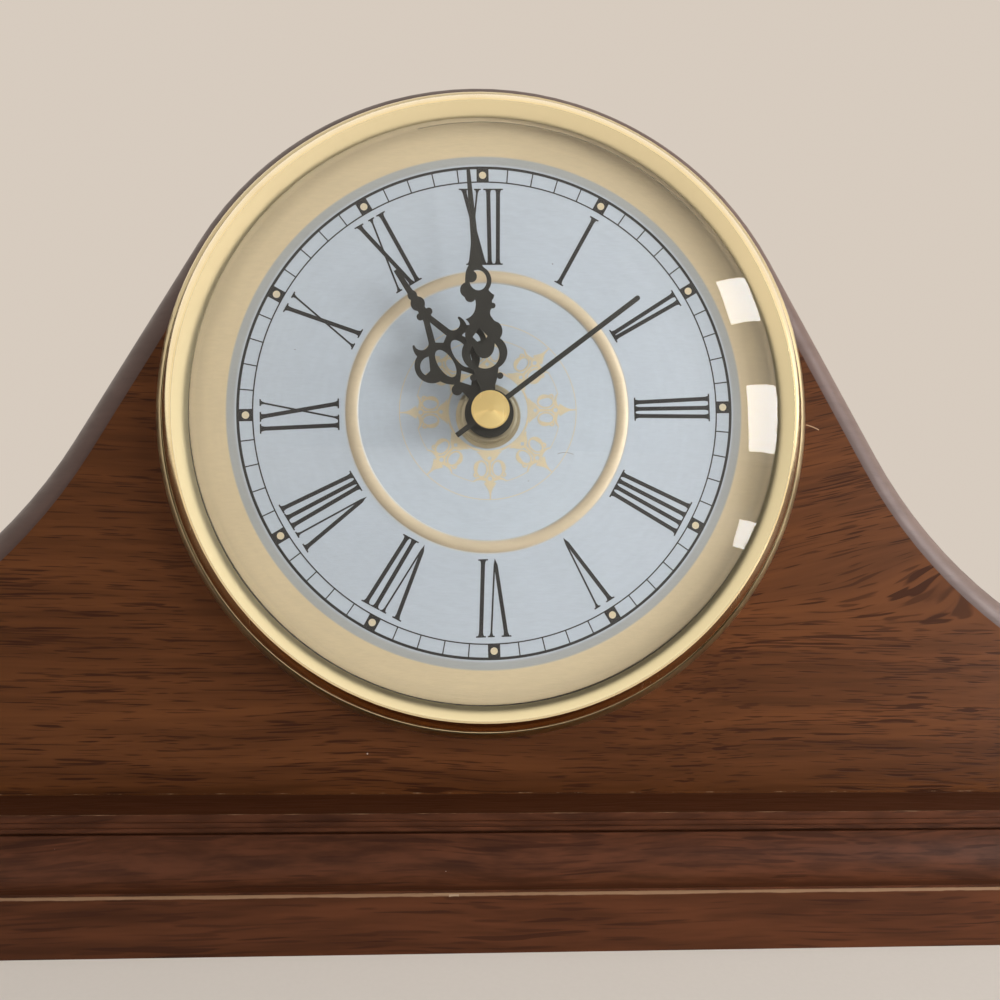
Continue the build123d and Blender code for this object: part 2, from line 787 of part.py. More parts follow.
def second_hand():
    """A plain bar with a square tail, on a short pipe behind its boss."""
    half = second_width / 2
    shape = outline([
        (-half, -second_tail), (half, -second_tail), (half, second_length - half),
        (-half, second_length - half, half),
    ]) + Circle(second_hub_radius)
    hand = layer(Rot(0, 0, -second_angle) * shape, second_level + second_thickness, second_thickness, arbor_z)
    hand += rod(arbor, hand_pipe_radius, second_level, second_level - hand_pipe_reach)
    return hand - rod(arbor, pivot_radius + seat_gap, lens_apex, box_front)


def second_cap():
    """A low cone with a thin raised rim, pressed on the end of the arbor."""
    bottom = second_level + second_thickness
    cap = turned([
        (0, bottom), (cap_radius, bottom), (cap_radius, bottom + cap_height - cap_rise),
        (cap_radius - cap_rim, bottom + cap_height - cap_rise),
        (cap_top_radius, bottom + cap_height), (0, bottom + cap_height),
    ], movement_axis(arbor))
    return cap - rod(arbor, pivot_radius + seat_gap, bottom + cap_height / 2 + seat_gap, box_front)


def third_wheel():
    shape = wheel(third_place, third_wheel_teeth, seconds_module, gap_angle(90, third_wheel_teeth),
                  third_wheel_front, thin_wheel, boss_radius)
    shape += pinion(third_place, third_pinion_teeth, centre_module, 90, centre_wheel_front, thick_wheel)
    return shape + rod(third_place, pivot_radius, plate_back + bearing_depth, pivot_end)


def centre_wheel():
    """Runs on the minute arbor, which it carries round through a friction clutch."""
    shape = wheel(arbor, centre_wheel_teeth, centre_module, gap_angle(-90, centre_wheel_teeth),
                  centre_wheel_front, thick_wheel, collar_radius)
    return shape - rod(arbor, minute_tube_radius + running_gap, centre_wheel_front, box_back)


def minute_arbor():
    """The tube that carries the minute hand, with the cannon pinion and a retaining collar."""
    collar_back = collar_front - collar_thickness
    shape = rod(arbor, minute_tube_radius, minute_level + hand_thickness + collar_thickness, collar_back)
    shape += rod(arbor, collar_radius, collar_front, collar_back)
    shape += pinion(arbor, cannon_pinion_teeth, cannon_module, 90, reversing_wheel_front, thick_wheel)
    return shape - rod(arbor, minute_tube_bore, lens_apex, box_back)


def reversing_wheel():
    """The minute wheel of the motion work, on the stem that the setting knob turns."""
    shape = wheel(reversing_place, reversing_wheel_teeth, cannon_module,
                  gap_angle(-90, reversing_wheel_teeth), reversing_wheel_front, thick_wheel, stem_radius)
    shape += pinion(reversing_place, reversing_pinion_teeth, hour_module, -90,
                    hour_wheel_front, hour_wheel_thickness)
    shape += rod(reversing_place, stem_radius, hour_wheel_front, box_back - knob_gap - knob_thickness / 2)
    return shape + rod(reversing_place, pivot_radius, inner_front + bearing_depth - running_gap, plate_front)


def hour_wheel():
    shape = wheel(arbor, hour_wheel_teeth, hour_module, gap_angle(90, hour_wheel_teeth),
                  hour_wheel_front, hour_wheel_thickness, hour_tube_radius)
    shape += rod(arbor, hour_tube_radius, hour_level + hand_thickness + running_gap,
                 hour_wheel_front - hour_wheel_thickness)
    return shape - rod(arbor, hour_tube_bore, lens_apex, box_back)


def intermediate_wheel():
    shape = wheel(intermediate_place, intermediate_wheel_teeth, step_module,
                  gap_angle(0, intermediate_wheel_teeth), intermediate_wheel_front, thin_wheel, boss_radius)
    shape += pinion(intermediate_place, intermediate_pinion_teeth, step_module, 180,
                    second_wheel_front, thin_wheel)
    return shape + rod(intermediate_place, pivot_radius, plate_back + bearing_depth, pivot_end)


def rotor_pinion():
    shape = pinion(rotor_place, rotor_pinion_teeth, step_module, 180, intermediate_wheel_front, thin_wheel)
    shape += rod(rotor_place, magnet_bore - seat_gap, magnet_front, intermediate_wheel_front)
    return shape + rod(rotor_place, pivot_radius, plate_back + bearing_depth, pivot_end)


def rotor_magnet():
    ring = Circle(magnet_radius) - Circle(magnet_bore)
    return layer(Pos(*rotor_place) * ring, magnet_front, magnet_thickness, arbor_z)


def setting_knob():
    """A scalloped thumb wheel behind the movement."""
    grip = Circle(knob_radius) - PolarLocations(knob_radius, knob_scallops) * Circle(scallop_radius)
    top = box_back - knob_gap
    knob = layer(Pos(*reversing_place) * grip, top, knob_thickness, arbor_z)
    return knob - rod(reversing_place, stem_radius + seat_gap, top, top - knob_thickness / 2 - seat_gap)


# Plates, coil and circuit

def middle_plate():
    """The pillar plate: it holds the front pivots and, on two pillars, the stator."""
    height = plate_low + plate_high
    shape = Pos(0, plate_high - height / 2) * RectangleRounded(2 * plate_half_width, height, post_radius)
    plate = layer(shape, plate_front, plate_thickness, arbor_z)
    for side in (-1, 1):
        place = (side * stator_pin_place, (stator_low + stator_high) / 2 - post_radius)
        plate += rod(place, post_radius, plate_back, stator_front)
        plate += rod(place, pin_radius, stator_front, stator_front - stator_thickness)
    holes = [(place, pin_radius) for place in plate_posts()]
    holes += [(arbor, minute_tube_radius), (reversing_place, stem_radius), (third_place, pivot_radius)]
    holes += [(intermediate_place, pivot_radius), (rotor_place, pivot_radius)]
    for place, radius in holes:
        plate -= rod(place, radius + running_gap, plate_front, plate_back)
    return plate


def stator_plate():
    """A lamination with the rotor's hole, and an ear at each end for the coil's core."""
    width = 2 * stator_half_width
    shape = Pos(0, (stator_low + stator_high) / 2) * Rectangle(width, stator_high - stator_low)
    ear_top = coil_place + ear_width / 2
    for side in (-1, 1):
        ear = Rectangle(ear_width, ear_top - stator_low)
        shape += Pos(side * (stator_half_width - ear_width / 2), (ear_top + stator_low) / 2) * ear
        pin = (side * stator_pin_place, (stator_low + stator_high) / 2 - post_radius)
        shape -= Pos(*pin) * Circle(pin_radius + running_gap)
    for place in coil_posts():
        shape -= Pos(*place) * Circle(pin_radius + running_gap)
    shape -= Pos(*rotor_place) * Circle(stator_hole_radius)
    return layer(shape, stator_front, stator_thickness, arbor_z)


def coil_core():
    end = Rectangle(ear_width, ear_width)
    shape = Rectangle(2 * stator_half_width, core_width)
    shape += [Pos(side * (stator_half_width - ear_width / 2), 0) * end for side in (-1, 1)]
    shape = Pos(0, coil_place) * shape
    for place in coil_posts():
        shape -= Pos(*place) * Circle(pin_radius + running_gap)
    return layer(shape, core_front, stator_thickness, arbor_z)


def along_core(shape, half_length):
    """A shape square to the core, made solid to both sides of its middle."""
    level = core_front - stator_thickness / 2
    plane = Plane(origin=movement_axis((0, coil_place), level), x_dir=forward, z_dir=right)
    return extrude(plane * shape, half_length, both=True)


def bobbin_tube(wall=0):
    return Rectangle(stator_thickness + 2 * (seat_gap + wall), core_width + 2 * (seat_gap + wall))


def coil_bobbin():
    bobbin = along_core(bobbin_tube(bobbin_wall), bobbin_half_length)
    flanges = along_core(Circle(flange_radius), bobbin_half_length)
    flanges -= along_core(Circle(flange_radius), bobbin_half_length - flange_thickness)
    return bobbin + flanges - along_core(bobbin_tube(), bobbin_half_length)


def coil_winding():
    shape = Circle(winding_radius) - bobbin_tube(bobbin_wall + seat_gap)
    return along_core(shape, bobbin_half_length - flange_thickness - seat_gap)


def circuit_board():
    height = board_low + board_high
    centre = (board_left + board_width / 2, board_high - height / 2)
    shape = Pos(*centre) * Rectangle(board_width, height)
    for place in board_posts():
        shape -= Pos(*place) * Circle(pin_radius + running_gap)
    return layer(shape, plate_front, circuit_thickness, arbor_z)


def chip_blob():
    """Black potting over the chip, on the back of the board."""
    place = (board_left + board_width / 2, board_high / 2)
    dome_radius = (chip_radius ** 2 + chip_height ** 2) / (2 * chip_height)
    bow = dome_radius - sqrt(dome_radius ** 2 - (chip_radius ** 2 + chip_height ** 2) / 4)
    return turned([(0, 0), (0, -chip_height), (chip_radius, 0, bow)],
                  movement_axis(place, plate_front - circuit_thickness))


def crystal_can():
    x, z = board_left + board_width / 2, -board_low / 2
    level = plate_front - circuit_thickness - can_radius
    return turned([(0, 0), (can_radius, 0), (can_radius, can_length), (0, can_length)],
                  movement_axis((x, z), level), up)


# Battery and its contacts

battery_level = box_back + battery_inset + battery_radius
nub_end = inner_half - contact_thickness - contact_gap
battery_start = nub_end - battery_nub - battery_length


def battery():
    origin = movement_axis((battery_start, -battery_drop), battery_level)
    plane = Plane(origin=origin, x_dir=up, z_dir=Vector(up).cross(Vector(right)))
    bevel = contact_thickness
    profile = outline([
        (0, 0), (battery_radius - bevel, 0), (battery_radius, bevel),
        (battery_radius, battery_length - bevel), (battery_radius - bevel, battery_length),
        (battery_nub_radius, battery_length), (battery_nub_radius, battery_length + battery_nub),
        (0, battery_length + battery_nub),
    ])
    return revolve(plane * profile, Axis(origin, right))


def contact(shape):
    """A bent strip, drawn flat with x to the right and y forward from the battery's axis."""
    origin = movement_axis((0, -battery_drop), battery_level)
    plane = Plane(origin=origin, x_dir=right, z_dir=Vector(right).cross(Vector(forward)))
    return extrude(plane * shape, contact_width / 2, both=True)


def contact_plus():
    half = contact_height / 2
    inner = inner_half - contact_thickness
    return contact(outline([(inner, -half), (inner_half, -half), (inner_half, half), (inner, half)]))


def contact_minus():
    """A leaf that bows off its back strip and presses on the battery."""
    half = contact_height / 2
    wall, leaf = -inner_half, -inner_half + contact_thickness
    reach = battery_start - leaf
    hollow = half - contact_thickness
    shape = outline([(wall, -half), (leaf, -half), (leaf, half, reach), (wall, half)])
    return contact(shape - outline([(leaf, -hollow), (leaf, hollow, reach - contact_thickness)]))


# Hands

def scaled(points, length):
    return [tuple(share * length for share in point) for point in points]


def ellipse(shares, length):
    across, along, half_width, half_height = shares
    return Pos(across * length, along * length) * Ellipse(half_width * length, half_height * length)


def disc(shares, length):
    across, along, radius = shares
    return Pos(across * length, along * length) * Circle(radius * length)


def diamond(shares, length):
    across, along, half_width, half_height = (share * length for share in shares)
    return outline([(across, along - half_height), (across + half_width, along),
                    (across, along + half_height), (across - half_width, along)])


def both_sides(shape):
    return shape + mirror(shape, Plane.YZ)


def hand_solid(shape, angle, level, bore):
    hand = layer(Rot(0, 0, -angle) * shape, level + hand_thickness, hand_thickness, arbor_z)
    return hand - rod(arbor, bore + seat_gap, level + hand_thickness, level)


def hour_hand():
    """A pierced serpentine hand: two ovals between two horned loops, then a kite and bulbs."""
    size = hour_length
    side = scaled(hour_side_shares, size)
    shape = both_sides(outline([(0, side[0][1])] + side + [(0, size)]))
    shape += Circle(hour_hub_radius)
    for lobe in hour_lobe_shares:
        shape += both_sides(disc(lobe, size))
    for along, radius in hour_bulb_shares:
        shape += disc((0, along, radius), size)
    shape -= both_sides(ellipse(hour_oval_share, size) + outline(scaled(hour_moon_shares, size)))
    shape -= outline(scaled(hour_kite_shares, size))
    shape -= diamond((0,) + hour_diamond_share, size)
    return hand_solid(shape, hour_angle, hour_level, hour_tube_radius)


def minute_hand():
    """The longer hand: an open loop with a tongue, a diamond, scrolls and a crescent."""
    size = minute_length
    shape = outline(scaled(minute_outline_shares, size)) + Circle(minute_hub_radius)
    for knob in minute_knob_shares:
        shape += disc(knob, size)
    shape += ellipse(minute_ring_share, size)
    shape -= disc(minute_loop_share, size) - ellipse(minute_tongue_share, size)
    shape -= diamond(minute_diamond_share, size)
    shape -= ellipse(minute_moon_share, size) - disc(minute_scroll_share, size)
    return hand_solid(shape, minute_angle, minute_level, minute_tube_radius)


pieces = {
    "base_board": base_board, "plinth_board": plinth_board, "front_board": front_board,
    "front_veneer": front_veneer, "top_wrap": top_wrap, "back_board": back_board,
    "glue_blocks": glue_blocks, "base_screws": base_screw_shapes, "back_screws": back_screw_shapes,
    "bezel": bezel, "lens": lens, "spacer_ring": spacer_ring, "dial_plate": dial_plate,
    "back_pan": back_pan, "insert_clips": insert_clips, "clip_screws": clip_screw_shapes,
    "cushion_washer": cushion_washer, "movement_front": movement_front, "movement_back": movement_back,
    "fixing_washer": fixing_washer, "fixing_nut": fixing_nut, "second_wheel": second_wheel,
    "second_arbor": second_arbor, "second_hand": second_hand, "second_cap": second_cap,
    "third_wheel": third_wheel, "centre_wheel": centre_wheel, "minute_arbor": minute_arbor,
    "reversing_wheel": reversing_wheel, "hour_wheel": hour_wheel,
    "intermediate_wheel": intermediate_wheel, "rotor_pinion": rotor_pinion,
    "rotor_magnet": rotor_magnet, "setting_knob": setting_knob, "middle_plate": middle_plate,
    "stator_plate": stator_plate, "coil_core": coil_core, "coil_bobbin": coil_bobbin,
    "coil_winding": coil_winding, "circuit_board": circuit_board, "chip_blob": chip_blob,
    "crystal_can": crystal_can, "battery": battery, "contact_plus": contact_plus,
    "contact_minus": contact_minus, "hour_hand": hour_hand, "minute_hand": minute_hand,
}

os.makedirs("parts", exist_ok=True)
for name, make in pieces.items():
    export_step(make(), f"parts/{name}.step")
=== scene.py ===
import math

import bpy
import numpy as np
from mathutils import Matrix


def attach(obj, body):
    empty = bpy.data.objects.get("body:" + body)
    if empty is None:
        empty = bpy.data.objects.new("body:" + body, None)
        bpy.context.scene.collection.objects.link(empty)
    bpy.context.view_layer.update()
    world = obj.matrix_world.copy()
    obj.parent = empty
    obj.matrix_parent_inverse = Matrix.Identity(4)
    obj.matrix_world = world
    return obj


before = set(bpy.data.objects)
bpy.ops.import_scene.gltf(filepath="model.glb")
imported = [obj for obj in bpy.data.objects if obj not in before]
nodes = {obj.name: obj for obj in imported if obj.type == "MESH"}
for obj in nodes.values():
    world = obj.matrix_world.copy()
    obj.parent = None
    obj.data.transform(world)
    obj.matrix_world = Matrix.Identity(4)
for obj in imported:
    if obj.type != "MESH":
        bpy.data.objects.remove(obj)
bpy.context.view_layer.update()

mm = 0.001
dialCentre = (0.0, 114.2)       # x and z of the printed dial, in mm
dialFront = -18.6               # y of the dial's front, in mm
dialAxis = (0.0, 0.0, dialCentre[1] * mm)
print("frame loaded,", len(nodes), "nodes")


# camera and lamps

cameraSet = {
    "place": (-0.00806159, -0.20887905, 0.08699066),
    "turn": (91.89763, -0.87814, -3.38926),
    "lens": 29.124,
    "sensor": 36.0,
    "near": 0.01,
    "far": 30.0,
}

daylightSet = [
    # soft light that nothing mirrors: name, azimuth right of the front and height in degrees,
    # distance, width, height, watts
    ("daylight", 68, 8, 0.60, 0.52, 0.25, 4.5),
    ("backFill", 155, 35, 1.80, 1.20, 1.20, 9.0),
]

paneSet = [
    # three panes above each other, seen only in what mirrors them
    ("paneTop", 66, 28, 0.72, 0.100, 0.104, 0.72),
    ("paneMiddle", 67, 6, 0.72, 0.110, 0.156, 1.20),
    ("paneFoot", 67, -17, 0.33, 0.031, 0.031, 0.066),
]


def makeCamera():
    data = bpy.data.cameras.new("camera")
    data.lens = cameraSet["lens"]
    data.sensor_width = cameraSet["sensor"]
    data.clip_start = cameraSet["near"]
    data.clip_end = cameraSet["far"]
    camera = bpy.data.objects.new("camera", data)
    camera.location = cameraSet["place"]
    camera.rotation_euler = [math.radians(a) for a in cameraSet["turn"]]
    bpy.context.scene.collection.objects.link(camera)
    bpy.context.scene.camera = camera


def makeLamp(name, azimuth, rise, distance, width, height, watts):
    # a lamp hangs at a distance from the dial, turned to face it
    aim = np.array([dialCentre[0], dialFront, dialCentre[1]]) * mm
    a, e = math.radians(azimuth), math.radians(rise)
    away = np.array([math.sin(a) * math.cos(e), -math.cos(a) * math.cos(e), math.sin(e)])
    data = bpy.data.lights.new(name, "AREA")
    data.shape = "RECTANGLE"
    data.size = width
    data.size_y = height
    data.energy = watts
    lamp = bpy.data.objects.new(name, data)
    lamp.location = aim + distance * away
    lamp.rotation_euler = (math.radians(90 - rise), 0, a)
    lamp.visible_camera = False
    lamp.visible_transmission = False
    bpy.context.scene.collection.objects.link(lamp)
    return lamp


def makeWindows():
    for item in daylightSet:
        makeLamp(*item).visible_glossy = False
    for item in paneSet:
        makeLamp(*item).visible_diffuse = False


makeCamera()
makeWindows()
bpy.context.scene.view_settings.view_transform = "Standard"
print("camera and windows set")


# small helpers for shader nodes

def solid(colour):
    return tuple(colour) if len(colour) == 4 else (*colour, 1.0)


def feed(tree, socket, value):
    # an input is linked to another socket or takes a value
    if isinstance(value, bpy.types.NodeSocket):
        tree.links.new(value, socket)
    else:
        socket.default_value = solid(value) if socket.type == "RGBA" else value


def addNode(tree, kind, feeds=None, **settings):
    item = tree.nodes.new("ShaderNode" + kind)
    for name, value in settings.items():
        setattr(item, name, value)
    for name, value in (feeds or {}).items():
        feed(tree, item.inputs[name], value)
    return item


def calc(tree, operation, *values):
    return addNode(tree, "Math", dict(enumerate(values)), operation=operation).outputs[0]


def plus(tree, a, b):
    return calc(tree, "ADD", a, b)


def minus(tree, a, b):
    return calc(tree, "SUBTRACT", a, b)


def times(tree, a, b):
    return calc(tree, "MULTIPLY", a, b)


def apartOf(tree, vector):
    return addNode(tree, "SeparateXYZ", {0: vector}).outputs


def blend(tree, share, a, b):
    # a plain number between a and b
    return addNode(tree, "Mix", {0: share, 2: a, 3: b}, data_type="FLOAT").outputs[0]


def dot(tree, a, b):
    return addNode(tree, "VectorMath", {0: a, 1: b}, operation="DOT_PRODUCT").outputs["Value"]


def vectorCalc(tree, operation, a, b):
    key = "Scale" if operation == "SCALE" else 1
    return addNode(tree, "VectorMath", {0: a, key: b}, operation=operation).outputs[0]


def scaled(tree, vector, by):
    return vectorCalc(tree, "MULTIPLY", vector, by)


def mixColour(tree, share, a, b, way="MIX"):
    return addNode(tree, "Mix", {0: share, 6: a, 7: b}, data_type="RGBA", blend_type=way).outputs[2]


def trueNormal(tree):
    return addNode(tree, "NewGeometry").outputs["Normal"]


def fade(tree, value, low, high, start=0.0, end=1.0):
    # smooth step from start to end while value goes from low to high
    return addNode(tree, "MapRange", {0: value, 1: low, 2: high, 3: start, 4: end},
                   interpolation_type="SMOOTHSTEP").outputs[0]


def noise(tree, vector, scale=1.0, detail=2.0, roughness=0.5):
    return addNode(tree, "TexNoise", {"Vector": vector, "Scale": scale, "Detail": detail,
                                      "Roughness": roughness}).outputs


def newGroup(name, inputs, outputs):
    # an empty shader group with its sockets, ready to be wired; it always takes a place in
    # space, and of its inputs one number is a float, three are a vector and four a colour
    group = bpy.data.node_groups.new(name, "ShaderNodeTree")
    for label, value in {"Vector": (0.0, 0.0, 0.0), **inputs}.items():
        kind = "Float" if isinstance(value, float) else "Vector" if len(value) == 3 else "Color"
        socket = group.interface.new_socket(label, in_out="INPUT", socket_type="NodeSocket" + kind)
        socket.default_value = value
    for label, kind in outputs.items():
        group.interface.new_socket(label, in_out="OUTPUT", socket_type="NodeSocket" + kind)
    take = group.nodes.new("NodeGroupInput").outputs
    sink = group.nodes.new("NodeGroupOutput").inputs

    def give(label, socket):
        group.links.new(socket, sink[label])
    return group, take, give


def useGroup(tree, group, feeds):
    item = tree.nodes.new("ShaderNodeGroup")
    item.node_tree = group
    for name, value in feeds.items():
        feed(tree, item.inputs[name], value)
    return item.outputs


# effects that several finishes share

poreSet = {
    "crowdSize": (28.0, 160.0, 160.0), "crowding": 0.30,
    "fineSoft": 0.14, "fineDepth": 0.7,
    "coarse": (0.62, 0.66, 0.66), "coarseRise": 0.03, "coarseSoft": 0.08,
}


def woodFibresGroup():
    # streaks along X: broad bands, fine fibres, streaks and short open pores, all one noise,
    # stretched in different ways
    group, take, give = newGroup("woodFibres", {
        "Dark": (0.04, 0.015, 0.008, 1), "Light": (0.14, 0.06, 0.03, 1), "Pore": (0.02, 0.01, 0.006, 1),
        "Bend": 0.004, "Curl": 7.0, "Band Size": (4.0, 45.0, 45.0), "Fibre Size": (30.0, 1300.0, 1300.0),
        "Pore Size": (95.0, 3000.0, 3000.0), "Pore Share": 0.8, "Pore Edge": 0.62,
        "Streak Share": 0.5, "Streak Size": (16.0, 300.0, 300.0),
    }, {"Color": "Color", "Height": "Float", "Tone": "Float"})
    wander = noise(group, take["Vector"], take["Curl"], 2.0)
    centred = vectorCalc(group, "SUBTRACT", wander["Color"], (0.5, 0.5, 0.5))
    bent = vectorCalc(group, "ADD", take["Vector"], vectorCalc(group, "SCALE", centred, take["Bend"]))
    bands = noise(group, scaled(group, bent, take["Band Size"]), 1.0, 3.0, 0.55)[0]
    fibres = noise(group, scaled(group, bent, take["Fibre Size"]), 1.0, 2.0)[0]
    crowd = noise(group, scaled(group, bent, poreSet["crowdSize"]), 1.0, 1.0)[0]
    edge = plus(group, take["Pore Edge"], times(group, minus(group, 0.5, crowd), poreSet["crowding"]))
    small = scaled(group, bent, take["Pore Size"])
    fine = noise(group, small, 1.0, 0.0)[0]
    coarse = noise(group, scaled(group, small, poreSet["coarse"]), 1.0, 1.0, 0.4)[0]
    fineMask = fade(group, minus(group, fine, edge), 0.0, poreSet["fineSoft"], 0.0, poreSet["fineDepth"])
    coarseEdge = plus(group, edge, poreSet["coarseRise"])
    coarseMask = fade(group, minus(group, coarse, coarseEdge), 0.0, poreSet["coarseSoft"])
    poreMask = times(group, calc(group, "MAXIMUM", fineMask, coarseMask), take["Pore Share"])
    streaked = scaled(group, bent, take["Streak Size"])
    streaks = noise(group, streaked, 1.0, 3.0, 0.6)[0]
    streakTone = times(group, fade(group, streaks, 0.30, 0.70), take["Streak Share"])
    plain = plus(group, fade(group, bands, 0.30, 0.70, 0.0, 0.70),
                 fade(group, fibres, 0.25, 0.75, 0.0, 0.30))
    tone = plus(group, streakTone, times(group, plain, minus(group, 1.0, take["Streak Share"])))
    colour = mixColour(group, tone, take["Dark"], take["Light"])
    give("Color", mixColour(group, poreMask, colour, take["Pore"]))
    give("Height", minus(group, times(group, fibres, 0.25), poreMask))
    give("Tone", tone)
    return group


def wornEdgeGroup():
    # a broken pale line along one long edge, where the finish has rubbed through
    group, take, give = newGroup("wornEdge", {
        "Edge Height": 12.0, "Edge Front": -41.0, "Width": 0.4, "Share": 0.5, "Run": 70.0,
    }, {"Mask": "Float"})
    apart = apartOf(group, take["Vector"])
    rise = minus(group, times(group, apart[2], 1000.0), take["Edge Height"])
    depth = minus(group, times(group, apart[1], 1000.0), take["Edge Front"])
    far = calc(group, "SQRT", plus(group, times(group, rise, rise), times(group, depth, depth)))
    along = addNode(group, "CombineXYZ", {0: apart[0]}).outputs[0]
    runs = noise(group, along, take["Run"], 4.0, 0.65)[0]
    worn = fade(group, runs, minus(group, 0.72, take["Share"]), 0.78, 0.0, 1.6)
    wide = times(group, take["Width"], worn)
    give("Mask", fade(group, minus(group, wide, far), 0.0, 0.14))
    return group


def dustGroup():
    # a few pale specks, one in some cells of a scattered pattern
    group, take, give = newGroup("dust", {"Cells": 110.0, "Speck": 0.018, "Share": 0.3}, {"Mask": "Float"})
    cells = addNode(group, "TexVoronoi", {"Vector": take["Vector"], "Scale": take["Cells"]})
    pick = addNode(group, "SeparateColor", {0: cells.outputs["Color"]}).outputs
    size = times(group, take["Speck"], plus(group, pick[1], 0.5))
    inside = fade(group, minus(group, size, cells.outputs["Distance"]), 0.0, 0.004)
    chosen = calc(group, "LESS_THAN", pick[0], take["Share"])
    give("Mask", times(group, inside, chosen))
    return group


def ringBrushGroup():
    # radius in mm about an axis along Y, with fine turning marks round it
    group, take, give = newGroup("ringBrush", {"Centre": dialAxis, "Marks": 2500.0, "Wander": 3.0},
                                 {"Radius": "Float", "Height": "Float", "Tone": "Float"})
    apart = apartOf(group, vectorCalc(group, "SUBTRACT", take["Vector"], take["Centre"]))
    radius = calc(group, "SQRT", plus(group, times(group, apart[0], apart[0]),
                                      times(group, apart[2], apart[2])))
    angle = calc(group, "ARCTAN2", apart[2], apart[0])
    around = addNode(group, "CombineXYZ", {
        0: times(group, radius, take["Marks"]),
        1: times(group, calc(group, "COSINE", angle), take["Wander"]),
        2: times(group, calc(group, "SINE", angle), take["Wander"])}).outputs[0]
    marks = noise(group, around, 1.0, 2.0)[0]
    cloud = noise(group, take["Vector"], 60.0, 3.0)[0]
    give("Radius", times(group, radius, 1000.0))
    give("Height", marks)
    give("Tone", plus(group, times(group, marks, 0.5), times(group, cloud, 0.5)))
    return group


def handledGroup():
    # what use leaves on metal and plastic: cloudy tarnish, small scratches and a fine skin
    group, take, give = newGroup("handled", {
        "Base": (0.5, 0.5, 0.5, 1), "Tarnish": (0.3, 0.3, 0.3, 1), "Cloud": 90.0, "Skin": 1500.0,
        "Amount": 0.5, "Roughness": 0.4,
    }, {"Color": "Color", "Roughness": "Float", "Height": "Float"})
    cloud = noise(group, take["Vector"], take["Cloud"], 4.0, 0.6)[0]
    skin = noise(group, take["Vector"], take["Skin"], 1.0)[0]
    stretched = scaled(group, take["Vector"], (3000.0, 260.0, 120.0))
    scratched = noise(group, stretched, 1.0, 1.0)[0]
    scratch = fade(group, scratched, 0.70, 0.76)
    share = times(group, fade(group, cloud, 0.42, 0.72), take["Amount"])
    wear = plus(group, share, times(group, scratch, 0.4))
    rough = plus(group, take["Roughness"], times(group, wear, 0.22))
    height = minus(group, times(group, skin, 0.5), times(group, scratch, 0.4))
    give("Color", mixColour(group, share, take["Base"], take["Tarnish"]))
    give("Roughness", rough)
    give("Height", height)
    return group


def strayMarkGroup():
    # one short mark on the front alone: start, way, half width and bow, all in mm; with t from
    # 0 to 1 along it, a point is on it where its distance off the way, less 4 bow t (1 - t),
    # is under the half width
    group, take, give = newGroup("strayMark", {
        "Start": (0.0, 0.0, 0.0), "Way": (1.0, 0.0, 0.0), "Half": 0.1, "Bow": 0.0,
    }, {"Mask": "Float"})
    flat = scaled(group, take["Vector"], (1000.0, 0.0, 1000.0))
    apart = vectorCalc(group, "SUBTRACT", flat, take["Start"])
    long = dot(group, take["Way"], take["Way"])
    along = calc(group, "DIVIDE", dot(group, apart, take["Way"]), long)
    square = vectorCalc(group, "CROSS_PRODUCT", take["Way"], (0.0, 1.0, 0.0))
    across = calc(group, "DIVIDE", dot(group, apart, square), calc(group, "SQRT", long))
    bow = times(group, times(group, take["Bow"], 4.0),
                times(group, along, minus(group, 1.0, along)))
    off = calc(group, "ABSOLUTE", minus(group, across, bow))
    inside = fade(group, minus(group, take["Half"], off), 0.0, 0.06)
    between = times(group, calc(group, "GREATER_THAN", along, 0.0), calc(group, "LESS_THAN", along, 1.0))
    front = calc(group, "LESS_THAN", apartOf(group, take["Vector"])[1], 0.0)
    give("Mask", times(group, times(group, inside, between), front))
    return group


def turnedNormalGroup():
    # the direction that leans outwards from an axis along Y: sideways lean (a sine), the rest
    # forwards, kept on the side of the true surface
    group, take, give = newGroup("turnedNormal", {"Centre": dialAxis, "Lean": 0.3}, {"Normal": "Vector"})
    apart = vectorCalc(group, "SUBTRACT", take["Vector"], take["Centre"])
    level = scaled(group, apart, (1.0, 0.0, 1.0))
    out = addNode(group, "VectorMath", {0: level}, operation="NORMALIZE").outputs[0]
    lean = calc(group, "MINIMUM", take["Lean"], 0.999)
    ahead = calc(group, "SQRT", minus(group, 1.0, times(group, lean, lean)))
    forward = addNode(group, "CombineXYZ", {1: times(group, ahead, -1.0)}).outputs[0]
    way = vectorCalc(group, "ADD", vectorCalc(group, "SCALE", out, lean), forward)
    turned = addNode(group, "VectorTransform", {0: way}, vector_type="NORMAL", convert_from="OBJECT",
                     convert_to="WORLD").outputs[0]
    side = calc(group, "SIGN", dot(group, turned, trueNormal(group)))
    give("Normal", vectorCalc(group, "SCALE", turned, side))
    return group


woodFibres = woodFibresGroup()
wornEdge = wornEdgeGroup()
dust = dustGroup()
ringBrush = ringBrushGroup()
handled = handledGroup()
strayMark = strayMarkGroup()
turnedNormal = turnedNormalGroup()
print("shared effects built")


# finishes

def newFinish(name, **plain):
    # a material with its Principled shader, and the piece's own coordinates
    material = bpy.data.materials.new(name)
    material.use_nodes = True
    tree = material.node_tree
    shader = tree.nodes["Principled BSDF"]
    for label, value in plain.items():
        shader.inputs[label.replace("_", " ")].default_value = value
    spot = addNode(tree, "TexCoord").outputs["Object"]
    return material, tree, shader, spot


def link(tree, socket, shader, label):
    tree.links.new(socket, shader.inputs[label])


